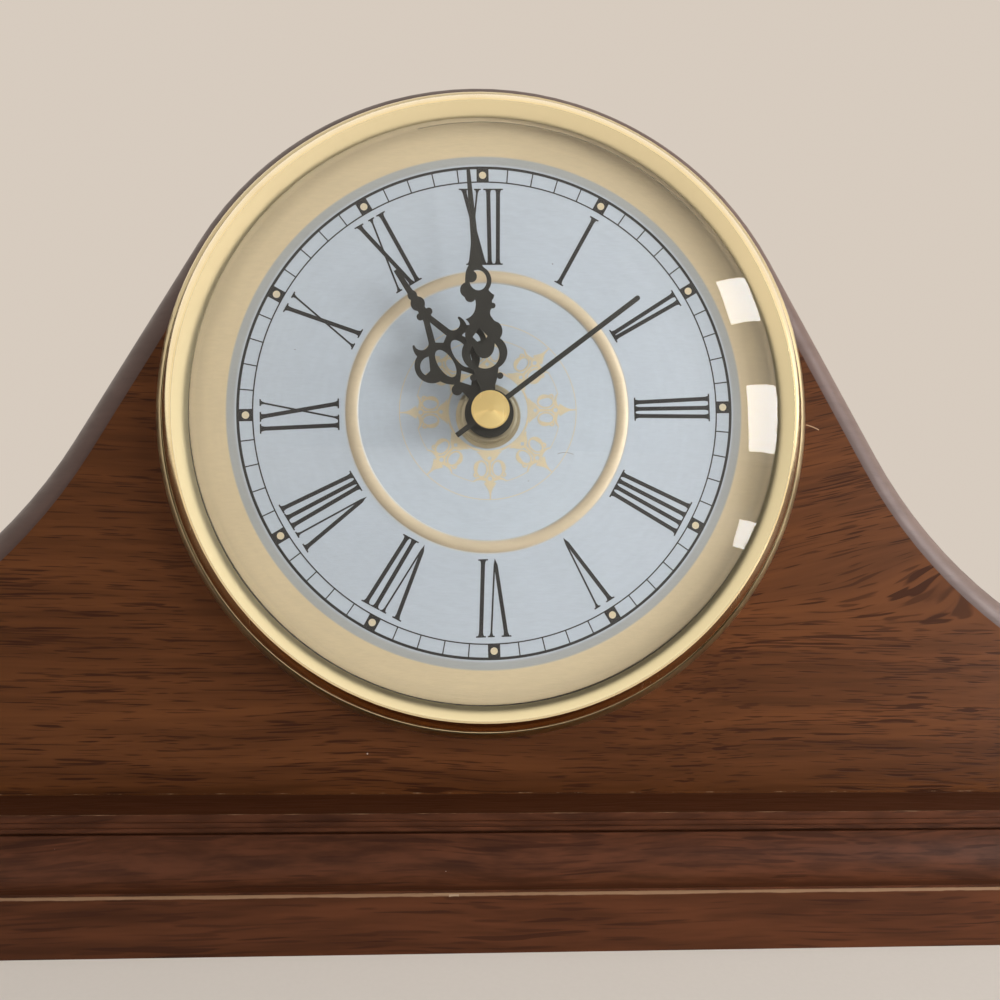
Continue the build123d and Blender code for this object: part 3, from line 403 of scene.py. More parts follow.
def coat(tree, shader, colour, rough, height, depth, normal=None):
    # the finish's colour, roughness and fine relief
    link(tree, colour, shader, "Base Color")
    link(tree, rough, shader, "Roughness")
    bump = addNode(tree, "Bump", {"Height": height, "Distance": depth})
    if normal is not None:
        link(tree, normal, bump, "Normal")
    link(tree, bump.outputs[0], shader, "Normal")


def marked(tree, spot, colour, marks):
    for start, way, half, bow, tint in marks:
        feeds = {"Vector": spot, "Start": start, "Way": way, "Half": half, "Bow": bow}
        colour = mixColour(tree, useGroup(tree, strayMark, feeds)["Mask"], colour, tint)
    return colour


# what the woods share unless they say otherwise; edges are height, front, width, share, run
woodPlain = {"streak": 0.5, "streakSize": (16.0, 300.0, 300.0), "gloss": 0.12, "edges": [], "top": None}

woodSet = {
    "base_wood": {
        "dark": (0.040, 0.0122, 0.0042), "light": (0.122, 0.0390, 0.0150), "pore": (0.026, 0.0075, 0.0032),
        "bend": 0.010, "curl": 9.0, "band": (7.0, 90.0, 90.0), "fibre": (34.0, 900.0, 900.0),
        "poreSize": (70.0, 1500.0, 1500.0), "poreShare": 0.60, "poreEdge": 0.60,
        "streakSize": (30.0, 320.0, 320.0), "rough": 0.42, "dust": 0.25,
        "edges": [(12.0, -41.0, 0.45, 0.92, 45.0)],
    },
    "plinth_wood": {
        "dark": (0.036, 0.0115, 0.0045), "light": (0.118, 0.0385, 0.0165), "pore": (0.026, 0.0080, 0.0036),
        "bend": 0.012, "curl": 10.0, "band": (9.0, 80.0, 80.0), "fibre": (50.0, 900.0, 900.0),
        "poreSize": (75.0, 1400.0, 1400.0), "poreShare": 0.60, "poreEdge": 0.59, "streak": 0.58,
        "streakSize": (70.0, 420.0, 420.0), "rough": 0.42, "dust": 0.5,
        # top: the colour of upward faces, partly a darker stain and partly painted shade
        "edges": [(24.9, -31.5, 0.15, 0.40, 90.0)], "top": (0.050, 0.0155, 0.0060),
    },
    "veneer": {
        "dark": (0.060, 0.0188, 0.0050), "light": (0.152, 0.0510, 0.0148), "pore": (0.034, 0.0092, 0.0030),
        "bend": 0.010, "curl": 7.0, "band": (4.0, 50.0, 50.0), "fibre": (22.0, 1000.0, 1000.0),
        "poreSize": (120.0, 2600.0, 2600.0), "poreShare": 0.85, "poreEdge": 0.595, "streak": 0.45,
        "rough": 0.40, "dust": 0.12, "edges": [(25.2, -19.0, 0.16, 0.30, 160.0)],
    },
    "edge_wood": {
        "dark": (0.062, 0.029, 0.021), "light": (0.088, 0.042, 0.031), "pore": (0.046, 0.020, 0.015),
        "bend": 0.006, "curl": 6.0, "band": (5.0, 40.0, 40.0), "fibre": (20.0, 700.0, 700.0),
        "poreSize": (90.0, 1600.0, 1600.0), "poreShare": 0.25, "poreEdge": 0.64,
        "rough": 0.46, "gloss": 0.55, "dust": 0.1,
    },
    "back_wood": {
        "dark": (0.20, 0.105, 0.050), "light": (0.36, 0.215, 0.115), "pore": (0.09, 0.045, 0.02),
        "bend": 0.012, "curl": 5.0, "band": (4.0, 38.0, 38.0), "fibre": (26.0, 900.0, 900.0),
        "poreSize": (110.0, 2000.0, 2000.0), "poreShare": 0.55, "poreEdge": 0.60,
        "rough": 0.62, "gloss": 0.30, "dust": 0.2,
    },
    "block_wood": {
        "dark": (0.36, 0.23, 0.12), "light": (0.55, 0.38, 0.22), "pore": (0.24, 0.14, 0.07),
        "bend": 0.010, "curl": 8.0, "band": (5.0, 130.0, 130.0), "fibre": (40.0, 1200.0, 1200.0),
        "poreSize": (90.0, 2000.0, 2000.0), "poreShare": 0.35, "poreEdge": 0.64,
        "rough": 0.70, "gloss": 0.30, "dust": 0.0,
    },
}

bareWood = (0.27, 0.155, 0.085)
paleDust = (0.50, 0.44, 0.37)
grainDepth = 0.00004

# a scratch beside the bezel, and a knock on the base's edge
strayMarks = {
    "veneer": [((76.8, 0, 112.7), (3.2, 0, -1.15), 0.16, 0.12, (0.46, 0.30, 0.18))],
    "base_wood": [((-7.4, 0, 11.75), (2.0, 0, 0.1), 0.42, 0.1, (0.42, 0.29, 0.19)),
                  ((-10.6, 0, 11.9), (8.5, 0, 0.05), 0.20, 0.0, (0.34, 0.21, 0.12))],
}

figureSet = {"from": 0.052, "rise": 0.24, "low": 0.060, "high": 0.084}


def figured(tree, spot):
    # the veneer's lines climb to the right of the dial, above a height
    apart = apartOf(tree, spot)
    right = calc(tree, "MAXIMUM", minus(tree, apart[0], figureSet["from"]), 0.0)
    high = fade(tree, apart[2], figureSet["low"], figureSet["high"], 0.0, -figureSet["rise"])
    shift = addNode(tree, "CombineXYZ", {2: times(tree, right, high)}).outputs[0]
    return vectorCalc(tree, "ADD", spot, shift)


def woodFinish(slot, own):
    look = {**woodPlain, **own}
    material, tree, shader, spot = newFinish(slot, Specular_IOR_Level=look["gloss"])
    wood = useGroup(tree, woodFibres, {
        "Vector": figured(tree, spot) if slot == "veneer" else spot,
        "Dark": look["dark"], "Light": look["light"], "Pore": look["pore"],
        "Bend": look["bend"], "Curl": look["curl"], "Band Size": look["band"], "Fibre Size": look["fibre"],
        "Pore Size": look["poreSize"], "Pore Share": look["poreShare"], "Pore Edge": look["poreEdge"],
        "Streak Share": look["streak"], "Streak Size": look["streakSize"]})
    colour = wood["Color"]
    if look["top"]:
        # upward faces, such as the ledge, are darker and plainer: partly the ledge's real darker, smoother
        # stain, partly painted shade where the front light reaches it less
        facing = apartOf(tree, trueNormal(tree))[2]
        colour = mixColour(tree, fade(tree, facing, 0.97, 0.995, 0.0, 0.8), colour, look["top"])
    for height, front, width, share, run in look["edges"]:
        worn = useGroup(tree, wornEdge, {"Vector": spot, "Edge Height": height, "Edge Front": front,
                                         "Width": width, "Share": share, "Run": run})["Mask"]
        colour = mixColour(tree, worn, colour, bareWood)
    specks = useGroup(tree, dust, {"Vector": spot, "Share": look["dust"]})["Mask"]
    colour = mixColour(tree, specks, colour, paleDust)
    colour = marked(tree, spot, colour, strayMarks.get(slot, []))
    rough = fade(tree, wood["Tone"], 0.0, 1.0, look["rough"] + 0.06, look["rough"] - 0.05)
    coat(tree, shader, colour, rough, wood["Height"], grainDepth)
    return material


handledSet = {
    # slot: base, tarnish, metallic, roughness, cloud, skin, amount, bump depth
    "screw_steel": ((0.50, 0.50, 0.50), (0.30, 0.27, 0.22), 1.0, 0.34, 300.0, 2500.0, 0.6, 0.00002),
    "pan_steel": ((0.58, 0.58, 0.58), (0.42, 0.40, 0.37), 1.0, 0.36, 60.0, 1800.0, 0.5, 0.00002),
    "clip_steel": ((0.46, 0.47, 0.48), (0.30, 0.28, 0.26), 1.0, 0.38, 160.0, 2200.0, 0.6, 0.00002),
    "spacer_black": ((0.020, 0.019, 0.018), (0.045, 0.042, 0.040), 0.0, 0.50, 200.0, 3000.0, 0.5, 0.00002),
    "cushion_rubber": ((0.018, 0.018, 0.018), (0.050, 0.048, 0.046), 0.0, 0.72, 260.0, 5000.0, 0.6, 0.00004),
    "movement_plastic": ((0.028, 0.028, 0.030), (0.052, 0.050, 0.050), 0.0, 0.46, 90.0, 4500.0, 0.5, 0.00004),
    "wheel_plastic": ((0.62, 0.60, 0.54), (0.50, 0.46, 0.38), 0.0, 0.42, 300.0, 6000.0, 0.4, 0.00001),
    "arbor_brass": ((0.78, 0.60, 0.28), (0.50, 0.33, 0.13), 1.0, 0.24, 500.0, 6000.0, 0.5, 0.00001),
    "arbor_steel": ((0.56, 0.56, 0.57), (0.36, 0.34, 0.32), 1.0, 0.28, 400.0, 5000.0, 0.5, 0.00001),
    "magnet_ferrite": ((0.060, 0.060, 0.064), (0.100, 0.096, 0.092), 0.3, 0.55, 900.0, 9000.0, 0.7, 0.00002),
    "chip_black": ((0.012, 0.012, 0.013), (0.030, 0.030, 0.032), 0.0, 0.22, 400.0, 4000.0, 0.5, 0.00001),
    "can_steel": ((0.66, 0.66, 0.66), (0.48, 0.47, 0.45), 1.0, 0.20, 500.0, 5000.0, 0.4, 0.00001),
    "contact_metal": ((0.70, 0.68, 0.62), (0.50, 0.45, 0.36), 1.0, 0.26, 400.0, 5000.0, 0.5, 0.00001),
    "hand_black": ((0.012, 0.013, 0.011), (0.026, 0.027, 0.023), 0.0, 0.42, 400.0, 5200.0, 0.5, 0.00001),
}


def handledFinish(slot, look):
    base, tarnish, metallic, roughness, cloud, skin, amount, depth = look
    material, tree, shader, spot = newFinish(slot, Metallic=metallic)
    used = useGroup(tree, handled, {"Vector": spot, "Base": base, "Tarnish": tarnish, "Cloud": cloud,
                                    "Skin": skin, "Amount": amount, "Roughness": roughness})
    coat(tree, shader, used["Color"], used["Roughness"], used["Height"], depth)
    return material


brassSet = {
    "bezel_brass": {"base": (0.90, 0.76, 0.47), "tarnish": (0.78, 0.60, 0.34), "rough": 0.12,
                    "centre": (0.0, 0.0, 0.1142), "marks": 2600.0},
    "nut_brass": {"base": (0.52, 0.48, 0.36), "tarnish": (0.36, 0.31, 0.20), "rough": 0.26,
                  "centre": (0.0, 0.0, 0.113), "marks": 4200.0},
    "capBrass": {"base": (0.97, 0.78, 0.36), "tarnish": (0.84, 0.63, 0.25), "rough": 0.18,
                 "centre": (0.0, 0.0, 0.113), "marks": 6000.0},
}
brassWear = {"wander": 2.0, "cloud": 140.0, "skin": 3000.0, "amount": 0.35, "grooves": 0.05,
             "skinShare": 0.3, "depth": 0.000005}

# the band that slopes down to the glass has a satin face, which shines as a flatter cone would; its paler
# colour is a painted sheen for the bright room it mirrors
satinBand = {"inside": 68.3, "outside": 70.95, "front": -0.0215, "soft": 0.06,
             "colour": (0.97, 0.85, 0.54), "rough": 0.28, "lean": -0.50}

# the thin rim on the wood is rolled over: its face leans outwards more than the sheet does
rimSet = {"inside": 75.1, "outside": 76.5, "front": -0.0201, "leanIn": 0.70, "leanOut": 0.97,
          "rough": 0.14}


def brassFinish(name):
    # turned brass under thin lacquer: marks run round, and tarnish gathers in clouds
    look, wear = brassSet[name], brassWear
    material, tree, shader, spot = newFinish(name, Metallic=1.0)
    turned = useGroup(tree, ringBrush, {"Vector": spot, "Centre": look["centre"], "Marks": look["marks"],
                                        "Wander": wear["wander"]})
    used = useGroup(tree, handled, {"Vector": spot, "Base": look["base"], "Tarnish": look["tarnish"],
                                    "Cloud": wear["cloud"], "Skin": wear["skin"], "Amount": wear["amount"],
                                    "Roughness": look["rough"]})
    colour = used["Color"]
    rough = plus(tree, used["Roughness"], times(tree, turned["Height"], wear["grooves"]))
    facing = None
    if name == "bezel_brass":
        radius, ahead = turned["Radius"], apartOf(tree, spot)[1]
        b, rim = satinBand, rimSet
        onBand = times(tree, fade(tree, radius, b["outside"] + b["soft"], b["outside"] - b["soft"]),
                       fade(tree, radius, b["inside"] - 0.1, b["inside"]))
        onBand = times(tree, onBand, calc(tree, "LESS_THAN", ahead, b["front"]))
        onRim = times(tree, calc(tree, "GREATER_THAN", radius, rim["inside"]),
                      calc(tree, "GREATER_THAN", ahead, rim["front"]))
        lean = fade(tree, radius, rim["inside"], rim["outside"], rim["leanIn"], rim["leanOut"])
        lean = blend(tree, onBand, lean, b["lean"])
        eased = useGroup(tree, turnedNormal, {"Vector": spot, "Centre": look["centre"],
                                              "Lean": lean})["Normal"]
        facing = addNode(tree, "Mix", {0: calc(tree, "MAXIMUM", onRim, onBand), 4: trueNormal(tree),
                                       5: eased}, data_type="VECTOR").outputs[1]
        # painted sheen: the band takes a paler brass than the rest of the bezel
        colour = mixColour(tree, onBand, colour, b["colour"])
        rough = blend(tree, onBand, rough, b["rough"])
        rough = plus(tree, rough, times(tree, onRim, rim["rough"]))
    marks = plus(tree, turned["Height"], times(tree, used["Height"], wear["skinShare"]))
    coat(tree, shader, colour, rough, marks, wear["depth"], facing)
    return material


dialSet = {
    "pale": (0.535, 0.600, 0.670), "inner": (0.550, 0.620, 0.690), "margin": (0.410, 0.425, 0.420),
    # the second, darker gilt near the lip is painted shade under the bezel
    "gilt": (0.700, 0.575, 0.362), "giltShaded": (0.610, 0.497, 0.311), "ring": (0.660, 0.550, 0.380),
    "ringInside": 30.1, "ringOutside": 33.7, "marginInside": 58.1, "giltInside": 60.3,
    "giltShadeFade": (64.5, 69.0), "grain": (500.0, 500.0, 3800.0), "depth": 0.000008, "rough": 0.52,
    "giltRough": 0.36, "speck": (0.12, 0.11, 0.10),
    # a hair caught on the dial, and three specks
    "marks": [((16.5, 0, 104.45), (3.8, 0, -0.05), 0.075, 0.42, (0.16, 0.12, 0.08)),
              ((14.6, 0, 149.6), (0.25, 0, 0.1), 0.14, 0.0, (0.10, 0.09, 0.08)),
              ((9.6, 0, 97.9), (0.2, 0, 0.1), 0.11, 0.0, (0.16, 0.14, 0.12)),
              ((-45.3, 0, 127.5), (0.25, 0, 0.0), 0.12, 0.0, (0.12, 0.11, 0.10))],
}


def dialFinish():
    # silvered plate: a gilt border and a gilt raised ring, told apart by radius; the border darkens towards
    # the bezel's lip as painted shade
    look = dialSet
    material, tree, shader, spot = newFinish("dial_metal", Metallic=0.1)
    brushed = useGroup(tree, ringBrush, {"Vector": spot, "Centre": dialAxis,
                                         "Marks": 900.0, "Wander": 6.0})
    radius = brushed["Radius"]
    start, stop = look["ringInside"], look["ringOutside"]
    colour = mixColour(tree, fade(tree, radius, start, start + 0.4), look["inner"], look["pale"])
    half = 0.5 * (stop - start)
    off = calc(tree, "ABSOLUTE", minus(tree, radius, start + half))
    onRing = fade(tree, off, half, half - 0.7)
    colour = mixColour(tree, onRing, colour, look["ring"])
    onMargin = fade(tree, radius, look["marginInside"], look["marginInside"] + 0.9)
    colour = mixColour(tree, onMargin, colour, look["margin"])
    onGilt = fade(tree, radius, look["giltInside"], look["giltInside"] + 0.5)
    # painted shade: the gilt darkens towards the lip, where the bezel shades the border
    gilt = mixColour(tree, fade(tree, radius, *look["giltShadeFade"]), look["gilt"], look["giltShaded"])
    colour = mixColour(tree, onGilt, colour, gilt)
    grain = noise(tree, scaled(tree, spot, look["grain"]), 1.0, 2.0)[0]
    cloud = fade(tree, brushed["Tone"], 0.3, 0.7, 0.97, 1.02)
    tint = times(tree, cloud, fade(tree, grain, 0.3, 0.7, 0.97, 1.02))
    grey = addNode(tree, "CombineColor", {0: tint, 1: tint, 2: tint}).outputs[0]
    colour = mixColour(tree, 1.0, colour, grey, "MULTIPLY")
    specks = useGroup(tree, dust, {"Vector": spot, "Cells": 90.0, "Speck": 0.02, "Share": 0.1})["Mask"]
    colour = mixColour(tree, specks, colour, look["speck"])
    colour = marked(tree, spot, colour, look["marks"])
    rough = fade(tree, plus(tree, onRing, onGilt), 0.0, 1.0, look["rough"], look["giltRough"])
    coat(tree, shader, colour, rough, grain, look["depth"])
    return material


lensSet = {"ior": 1.32, "dome": 167.0, "tint": (0.985, 0.99, 0.985, 1), "smear": 0.012,
           "steep": 0.34, "sloping": 0.56, "wall": 0.06, "lip": -0.0222}


def lensFinish():
    # clear pressed glass that mirrors the room as one even dome, right out to the lip
    look = lensSet
    material, tree, shader, spot = newFinish("lens_glass", Transmission_Weight=1.0, IOR=look["ior"],
                                             Metallic=0.0, Base_Color=look["tint"])
    away = useGroup(tree, ringBrush, {"Vector": spot, "Centre": dialAxis})["Radius"]
    lean = calc(tree, "DIVIDE", away, look["dome"])
    domed = useGroup(tree, turnedNormal, {"Vector": spot, "Centre": dialAxis, "Lean": lean})["Normal"]
    link(tree, domed, shader, "Normal")
    # its upright walls and the rim under the lip are left clear
    facing = calc(tree, "ABSOLUTE", apartOf(tree, trueNormal(tree))[1])
    wall = fade(tree, facing, look["steep"], look["sloping"], look["wall"], 1.0)
    above = calc(tree, "LESS_THAN", apartOf(tree, spot)[1], look["lip"])
    link(tree, times(tree, wall, above), shader, "Alpha")
    smear = noise(tree, spot, 45.0, 3.0)[0]
    link(tree, fade(tree, smear, 0.45, 0.75, 0.0, look["smear"]), shader, "Roughness")
    return material


def coilFinish():
    # enamelled wire, laid side by side round the X axis, with painted shade in the grooves between the turns
    material, tree, shader, spot = newFinish("coil_copper", Metallic=1.0)
    along = apartOf(tree, spot)[0]
    turns = calc(tree, "ABSOLUTE", calc(tree, "SINE", times(tree, along, 16000.0)))
    used = useGroup(tree, handled, {
        "Vector": spot, "Base": (0.80, 0.34, 0.14), "Tarnish": (0.52, 0.17, 0.06),
        "Cloud": 700.0, "Skin": 5000.0, "Amount": 0.7, "Roughness": 0.30})
    # painted shade: the copper is darker in the grooves between the turns
    colour = mixColour(tree, turns, (0.22, 0.07, 0.03), used["Color"])
    coat(tree, shader, colour, used["Roughness"], turns, 0.00008)
    return material


def circuitFinish():
    # green solder mask with the copper runs showing through, and tinned lands
    material, tree, shader, spot = newFinish("circuit_green", Metallic=0.0)
    apart = apartOf(tree, spot)
    flat = addNode(tree, "CombineXYZ", {0: apart[0], 1: apart[2]}).outputs[0]
    runs = addNode(tree, "TexBrick", {
        "Vector": flat, "Scale": 260.0, "Color1": (1, 1, 1, 1), "Color2": (0.8, 0.8, 0.8, 1),
        "Mortar": (0, 0, 0, 1), "Mortar Size": 0.09, "Mortar Smooth": 0.1}).outputs[0]
    colour = mixColour(tree, runs, (0.012, 0.075, 0.030), (0.030, 0.150, 0.060))
    lands = addNode(tree, "TexVoronoi", {"Vector": spot, "Scale": 480.0})
    land = fade(tree, lands.outputs["Distance"], 0.24, 0.20)
    colour = mixColour(tree, land, colour, (0.52, 0.52, 0.50))
    link(tree, land, shader, "Metallic")
    coat(tree, shader, colour, fade(tree, land, 0.0, 1.0, 0.30, 0.42), runs, 0.00003)
    return material


batterySet = {"ends": (-21.4, 24.4), "band": -9.5, "jacket": (0.030, 0.034, 0.040),
              "worn": (0.06, 0.06, 0.065), "copper": (0.62, 0.30, 0.12), "bare": (0.62, 0.62, 0.60)}


def batteryFinish():
    # a plain wrapped cell: dark sleeve, one coppery band, bare metal ends
    material, tree, shader, spot = newFinish("battery_jacket", Coat_Weight=0.3, Coat_Roughness=0.12)
    along = times(tree, apartOf(tree, spot)[0], 1000.0)
    used = useGroup(tree, handled, {
        "Vector": spot, "Base": batterySet["jacket"], "Tarnish": batterySet["worn"],
        "Cloud": 120.0, "Skin": 3000.0, "Amount": 0.5, "Roughness": 0.26})
    band = calc(tree, "LESS_THAN", along, batterySet["band"])
    colour = mixColour(tree, band, used["Color"], batterySet["copper"])
    low, high = batterySet["ends"]
    bare = plus(tree, calc(tree, "LESS_THAN", along, low), calc(tree, "GREATER_THAN", along, high))
    colour = mixColour(tree, bare, colour, batterySet["bare"])
    link(tree, calc(tree, "MAXIMUM", bare, times(tree, band, 0.6)), shader, "Metallic")
    coat(tree, shader, colour, used["Roughness"], used["Height"], 0.00001)
    return material


finishes = {slot: woodFinish(slot, own) for slot, own in woodSet.items()}
finishes.update({slot: handledFinish(slot, look) for slot, look in handledSet.items()})
finishes.update({slot: brassFinish(slot) for slot in ("bezel_brass", "nut_brass")})
finishes.update({"dial_metal": dialFinish(), "lens_glass": lensFinish(), "coil_copper": coilFinish(),
                 "circuit_green": circuitFinish(), "battery_jacket": batteryFinish()})

for node in nodes.values():
    for place in node.material_slots:
        place.material = finishes[place.material.name.split(".")[0]]
nodes["second_cap"].material_slots[0].material = brassFinish("capBrass")
nodes["lens"].visible_shadow = False
nodes["lens"].visible_diffuse = False
print("finishes given to", len(nodes), "nodes")


# what is printed on the dial: thin slabs between two edge curves

dialTurn = 2.3                  # the dial is fixed a little turned in its bezel, in degrees
inkSet = {
    # as in handledSet
    "ink": ((0.006, 0.007, 0.009), (0.018, 0.019, 0.022), 0.0, 0.42, 900.0, 7000.0, 0.6, 0.000004),
    "gold": ((0.72, 0.62, 0.42), (0.60, 0.56, 0.45), 0.1, 0.40, 400.0, 7000.0, 0.6, 0.000004),
}
inks = {"ink": handledFinish("dialInk", inkSet["ink"]), "gold": handledFinish("goldInk", inkSet["gold"])}


def slabs(strips, lift, closed):
    # each strip is a sheet between its left and right edge curves, given four corners in
    # section (front left, front right, back right, back left) and carried along the curves
    left, right = np.stack([s[0] for s in strips]), np.stack([s[1] for s in strips])
    ahead = np.roll(left, -1, 1) - left
    across = right - left
    turn = (ahead[..., 0] * across[..., 1] - ahead[..., 1] * across[..., 0])[:, :-1].sum(1)
    swap = (turn > 0)[:, None, None]
    left, right = np.where(swap, right, left), np.where(swap, left, right)
    count, rows = left.shape[:2]
    ring = np.stack([left, right, right, left], 2)
    angle = math.radians(dialTurn)
    x = ring[..., 0] * math.cos(angle) - ring[..., 1] * math.sin(angle) + dialCentre[0]
    z = ring[..., 0] * math.sin(angle) + ring[..., 1] * math.cos(angle) + dialCentre[1]
    y = np.broadcast_to(dialFront - np.array([lift, lift, 0.0, 0.0]), x.shape)
    points = np.stack([x, y, z], -1).reshape(-1, 3) * mm
    at = np.arange(count * rows * 4).reshape(count, rows, 4)
    after = np.roll(at, -1, 1)
    walls = np.stack([at, np.roll(at, -1, 2), np.roll(after, -1, 2), after], -1)
    if closed:
        return points, walls.reshape(-1, 4)
    ends = np.concatenate([at[:, 0, [0, 3, 2, 1]], at[:, -1, [0, 1, 2, 3]]])
    return points, np.concatenate([walls[:, :-1].reshape(-1, 4), ends])


def printPiece(name, parts, ink):
    # parts: (strips, lift, closed) sets that make one printed piece
    points, faces, start = [], [], 0
    for strips, lift, closed in parts:
        p, f = slabs(strips, lift, closed)
        points.append(p)
        faces.append(f + start)
        start += len(p)
    mesh = bpy.data.meshes.new(name)
    mesh.from_pydata(np.concatenate(points).tolist(), [], np.concatenate(faces).tolist())
    mesh.materials.append(inks[ink])
    piece = bpy.data.objects.new(name, mesh)
    bpy.context.scene.collection.objects.link(piece)
    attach(piece, "case")
    return piece


def spin(curve, degrees):
    # the upright curve (x across, r outwards) taken clockwise to a clock angle
    a = math.radians(degrees)
    return np.stack([curve[:, 0] * math.cos(a) + curve[:, 1] * math.sin(a),
                     curve[:, 1] * math.cos(a) - curve[:, 0] * math.sin(a)], 1)


def band(path, half):
    # left and right edges of a line of half width `half` carried along a path, square to it
    way = np.gradient(path, axis=0)
    square = np.stack([-way[:, 1], way[:, 0]], 1) / np.linalg.norm(way, axis=1)[:, None]
    half = np.broadcast_to(half, len(path))[:, None]
    return path + square * half, path - square * half


def loop(centre, wide, tall, half, count=40):
    # a closed ellipse drawn with a half width that may change with its angle
    t = np.arange(count) * 2 * np.pi / count
    out = np.stack([np.cos(t), np.sin(t)], 1)
    reach = np.array([wide, tall])
    half = np.broadcast_to(half(t) if callable(half) else half, count)[:, None]
    return np.array(centre) + out * (reach + half), np.array(centre) + out * (reach - half)


trackSet = {"outer": 57.9, "outerHalf": 0.32, "inner": 54.5, "innerHalf": 0.15, "tickHalf": 0.14,
            "squareHalf": 1.42, "dotRadius": 0.85, "dotStart": 0.06, "middle": 56.1, "lift": 0.04,
            "step": 0.015, "rows": 240}


def minuteTrack():
    t = trackSet
    rings = [loop((0, 0), t["outer"], t["outer"], t["outerHalf"], t["rows"]),
             loop((0, 0), t["inner"], t["inner"], t["innerHalf"], t["rows"])]
    line = np.array([[0, t["inner"]], [0, t["outer"]]])
    tick, square = band(line, t["tickHalf"]), band(line, t["squareHalf"])
    ticks = [[spin(edge, 6 * k) for edge in tick] for k in range(60)]
    printPiece("minute_track", [(rings, t["lift"], True), (ticks, t["lift"] - t["step"], False)], "ink")
    hourly = lambda edges: [[spin(edge, 30 * k) for edge in edges] for k in range(12)]
    printPiece("hour_squares", [(hourly(square), t["lift"] + t["step"], False)], "ink")
    s = np.linspace(t["dotStart"], np.pi - t["dotStart"], 24)
    half = np.stack([np.sin(s), -np.cos(s)], 1) * t["dotRadius"]
    middle = np.array([0, t["middle"]])
    dots = hourly([middle + half * [-1, 1], middle + half])
    printPiece("hour_dots", [(dots, t["lift"] + 2 * t["step"], False)], "gold")


numeralSet = {"top": 52.9, "foot": 34.7, "thick": 0.475, "thin": 0.21, "thickSerif": 1.15,
              "thinSerif": 0.80, "slab": 0.33, "under": 0.02, "bracket": 1.1, "root": 0.62,
              "hollow": 2.2, "point": 1.6, "blunt": 0.12, "lift": 0.03, "step": 0.01}

# strokes of each numeral: weight, x at the top, x at the foot, v where the foot is a V's point
numerals = {
    1: [("thick", 0.05, 0.05)],
    2: [("thick", -1.1, -0.55), ("thick", 1.0, 0.6)],
    3: [("thick", -2.15, -1.5), ("thick", 0.05, 0.05), ("thick", 2.15, 1.7)],
    4: [("thick", -3.3, -2.25), ("thick", -1.0, -0.5), ("thick", 1.25, 1.1), ("thick", 3.5, 2.8)],
    5: [("thick", -1.5, 0.45, "v"), ("thin", 2.1, 0.5, "v")],
    6: [("thick", -3.0, -0.7, "v"), ("thin", 0.6, -0.65, "v"), ("thick", 3.0, 2.05)],
    7: [("thick", -4.6, -2.0, "v"), ("thin", -1.0, -2.0, "v"), ("thick", 1.1, 0.6), ("thick", 3.5, 2.4)],
    8: [("thick", -5.4, -2.5, "v"), ("thin", -1.75, -2.5, "v"), ("thick", 0.6, 0.4),
        ("thick", 2.8, 1.8), ("thick", 5.2, 3.5)],
    9: [("thick", -3.25, -2.7), ("thick", -0.5, 2.4), ("thin", 2.9, -1.05)],
    10: [("thick", -1.7, 1.45), ("thin", 1.8, -2.05)],
    11: [("thick", -3.4, 0.4), ("thin", -0.05, -3.25), ("thick", 2.5, 1.75)],
    12: [("thick", -4.6, -0.1), ("thin", -1.3, -3.6), ("thick", 1.25, 1.2), ("thick", 3.6, 3.1)],
}


def stroke(weight, top, foot, end=""):
    # a stem whose half width grows to a slab at each end through a hollow bracket,
    # or narrows to the point of a V; its section is always level
    n = numeralSet
    stem, serif = n[weight], n[weight + "Serif"]
    tall = n["top"] - n["foot"]
    slope = math.hypot(1.0, (top - foot) / tall)
    curve = n["slab"] + n["under"] + n["bracket"] * np.linspace(0, 1, 7) ** 1.4
    near = np.concatenate([[0.0, n["slab"]], curve])
    bell = np.clip((near - n["slab"]) / n["bracket"], 0, 1)
    hollow = stem * slope + (n["root"] * serif - stem * slope) * (1 - bell) ** n["hollow"]
    flare = np.where(near <= n["slab"], serif, hollow)
    point = stem * slope * np.clip(near / n["point"], n["blunt"], 1)
    low = point if end == "v" else flare
    far = np.concatenate([near, (tall - near)[::-1]])
    half = np.concatenate([flare, low[::-1]])
    middle = top + (foot - top) * far / tall
    r = n["top"] - far
    return np.stack([middle - half, r], 1), np.stack([middle + half, r], 1)


def numeralPiece():
    # where thick and thin strokes cross, the thick ones lie on top
    n, lines = numeralSet, {"thick": [], "thin": []}
    for hour, marks in numerals.items():
        for mark in marks:
            lines[mark[0]].append([spin(edge, 30 * hour) for edge in stroke(*mark)])
    printPiece("numerals", [(lines["thick"], n["lift"] + n["step"], False),
                            (lines["thin"], n["lift"], False)], "ink")


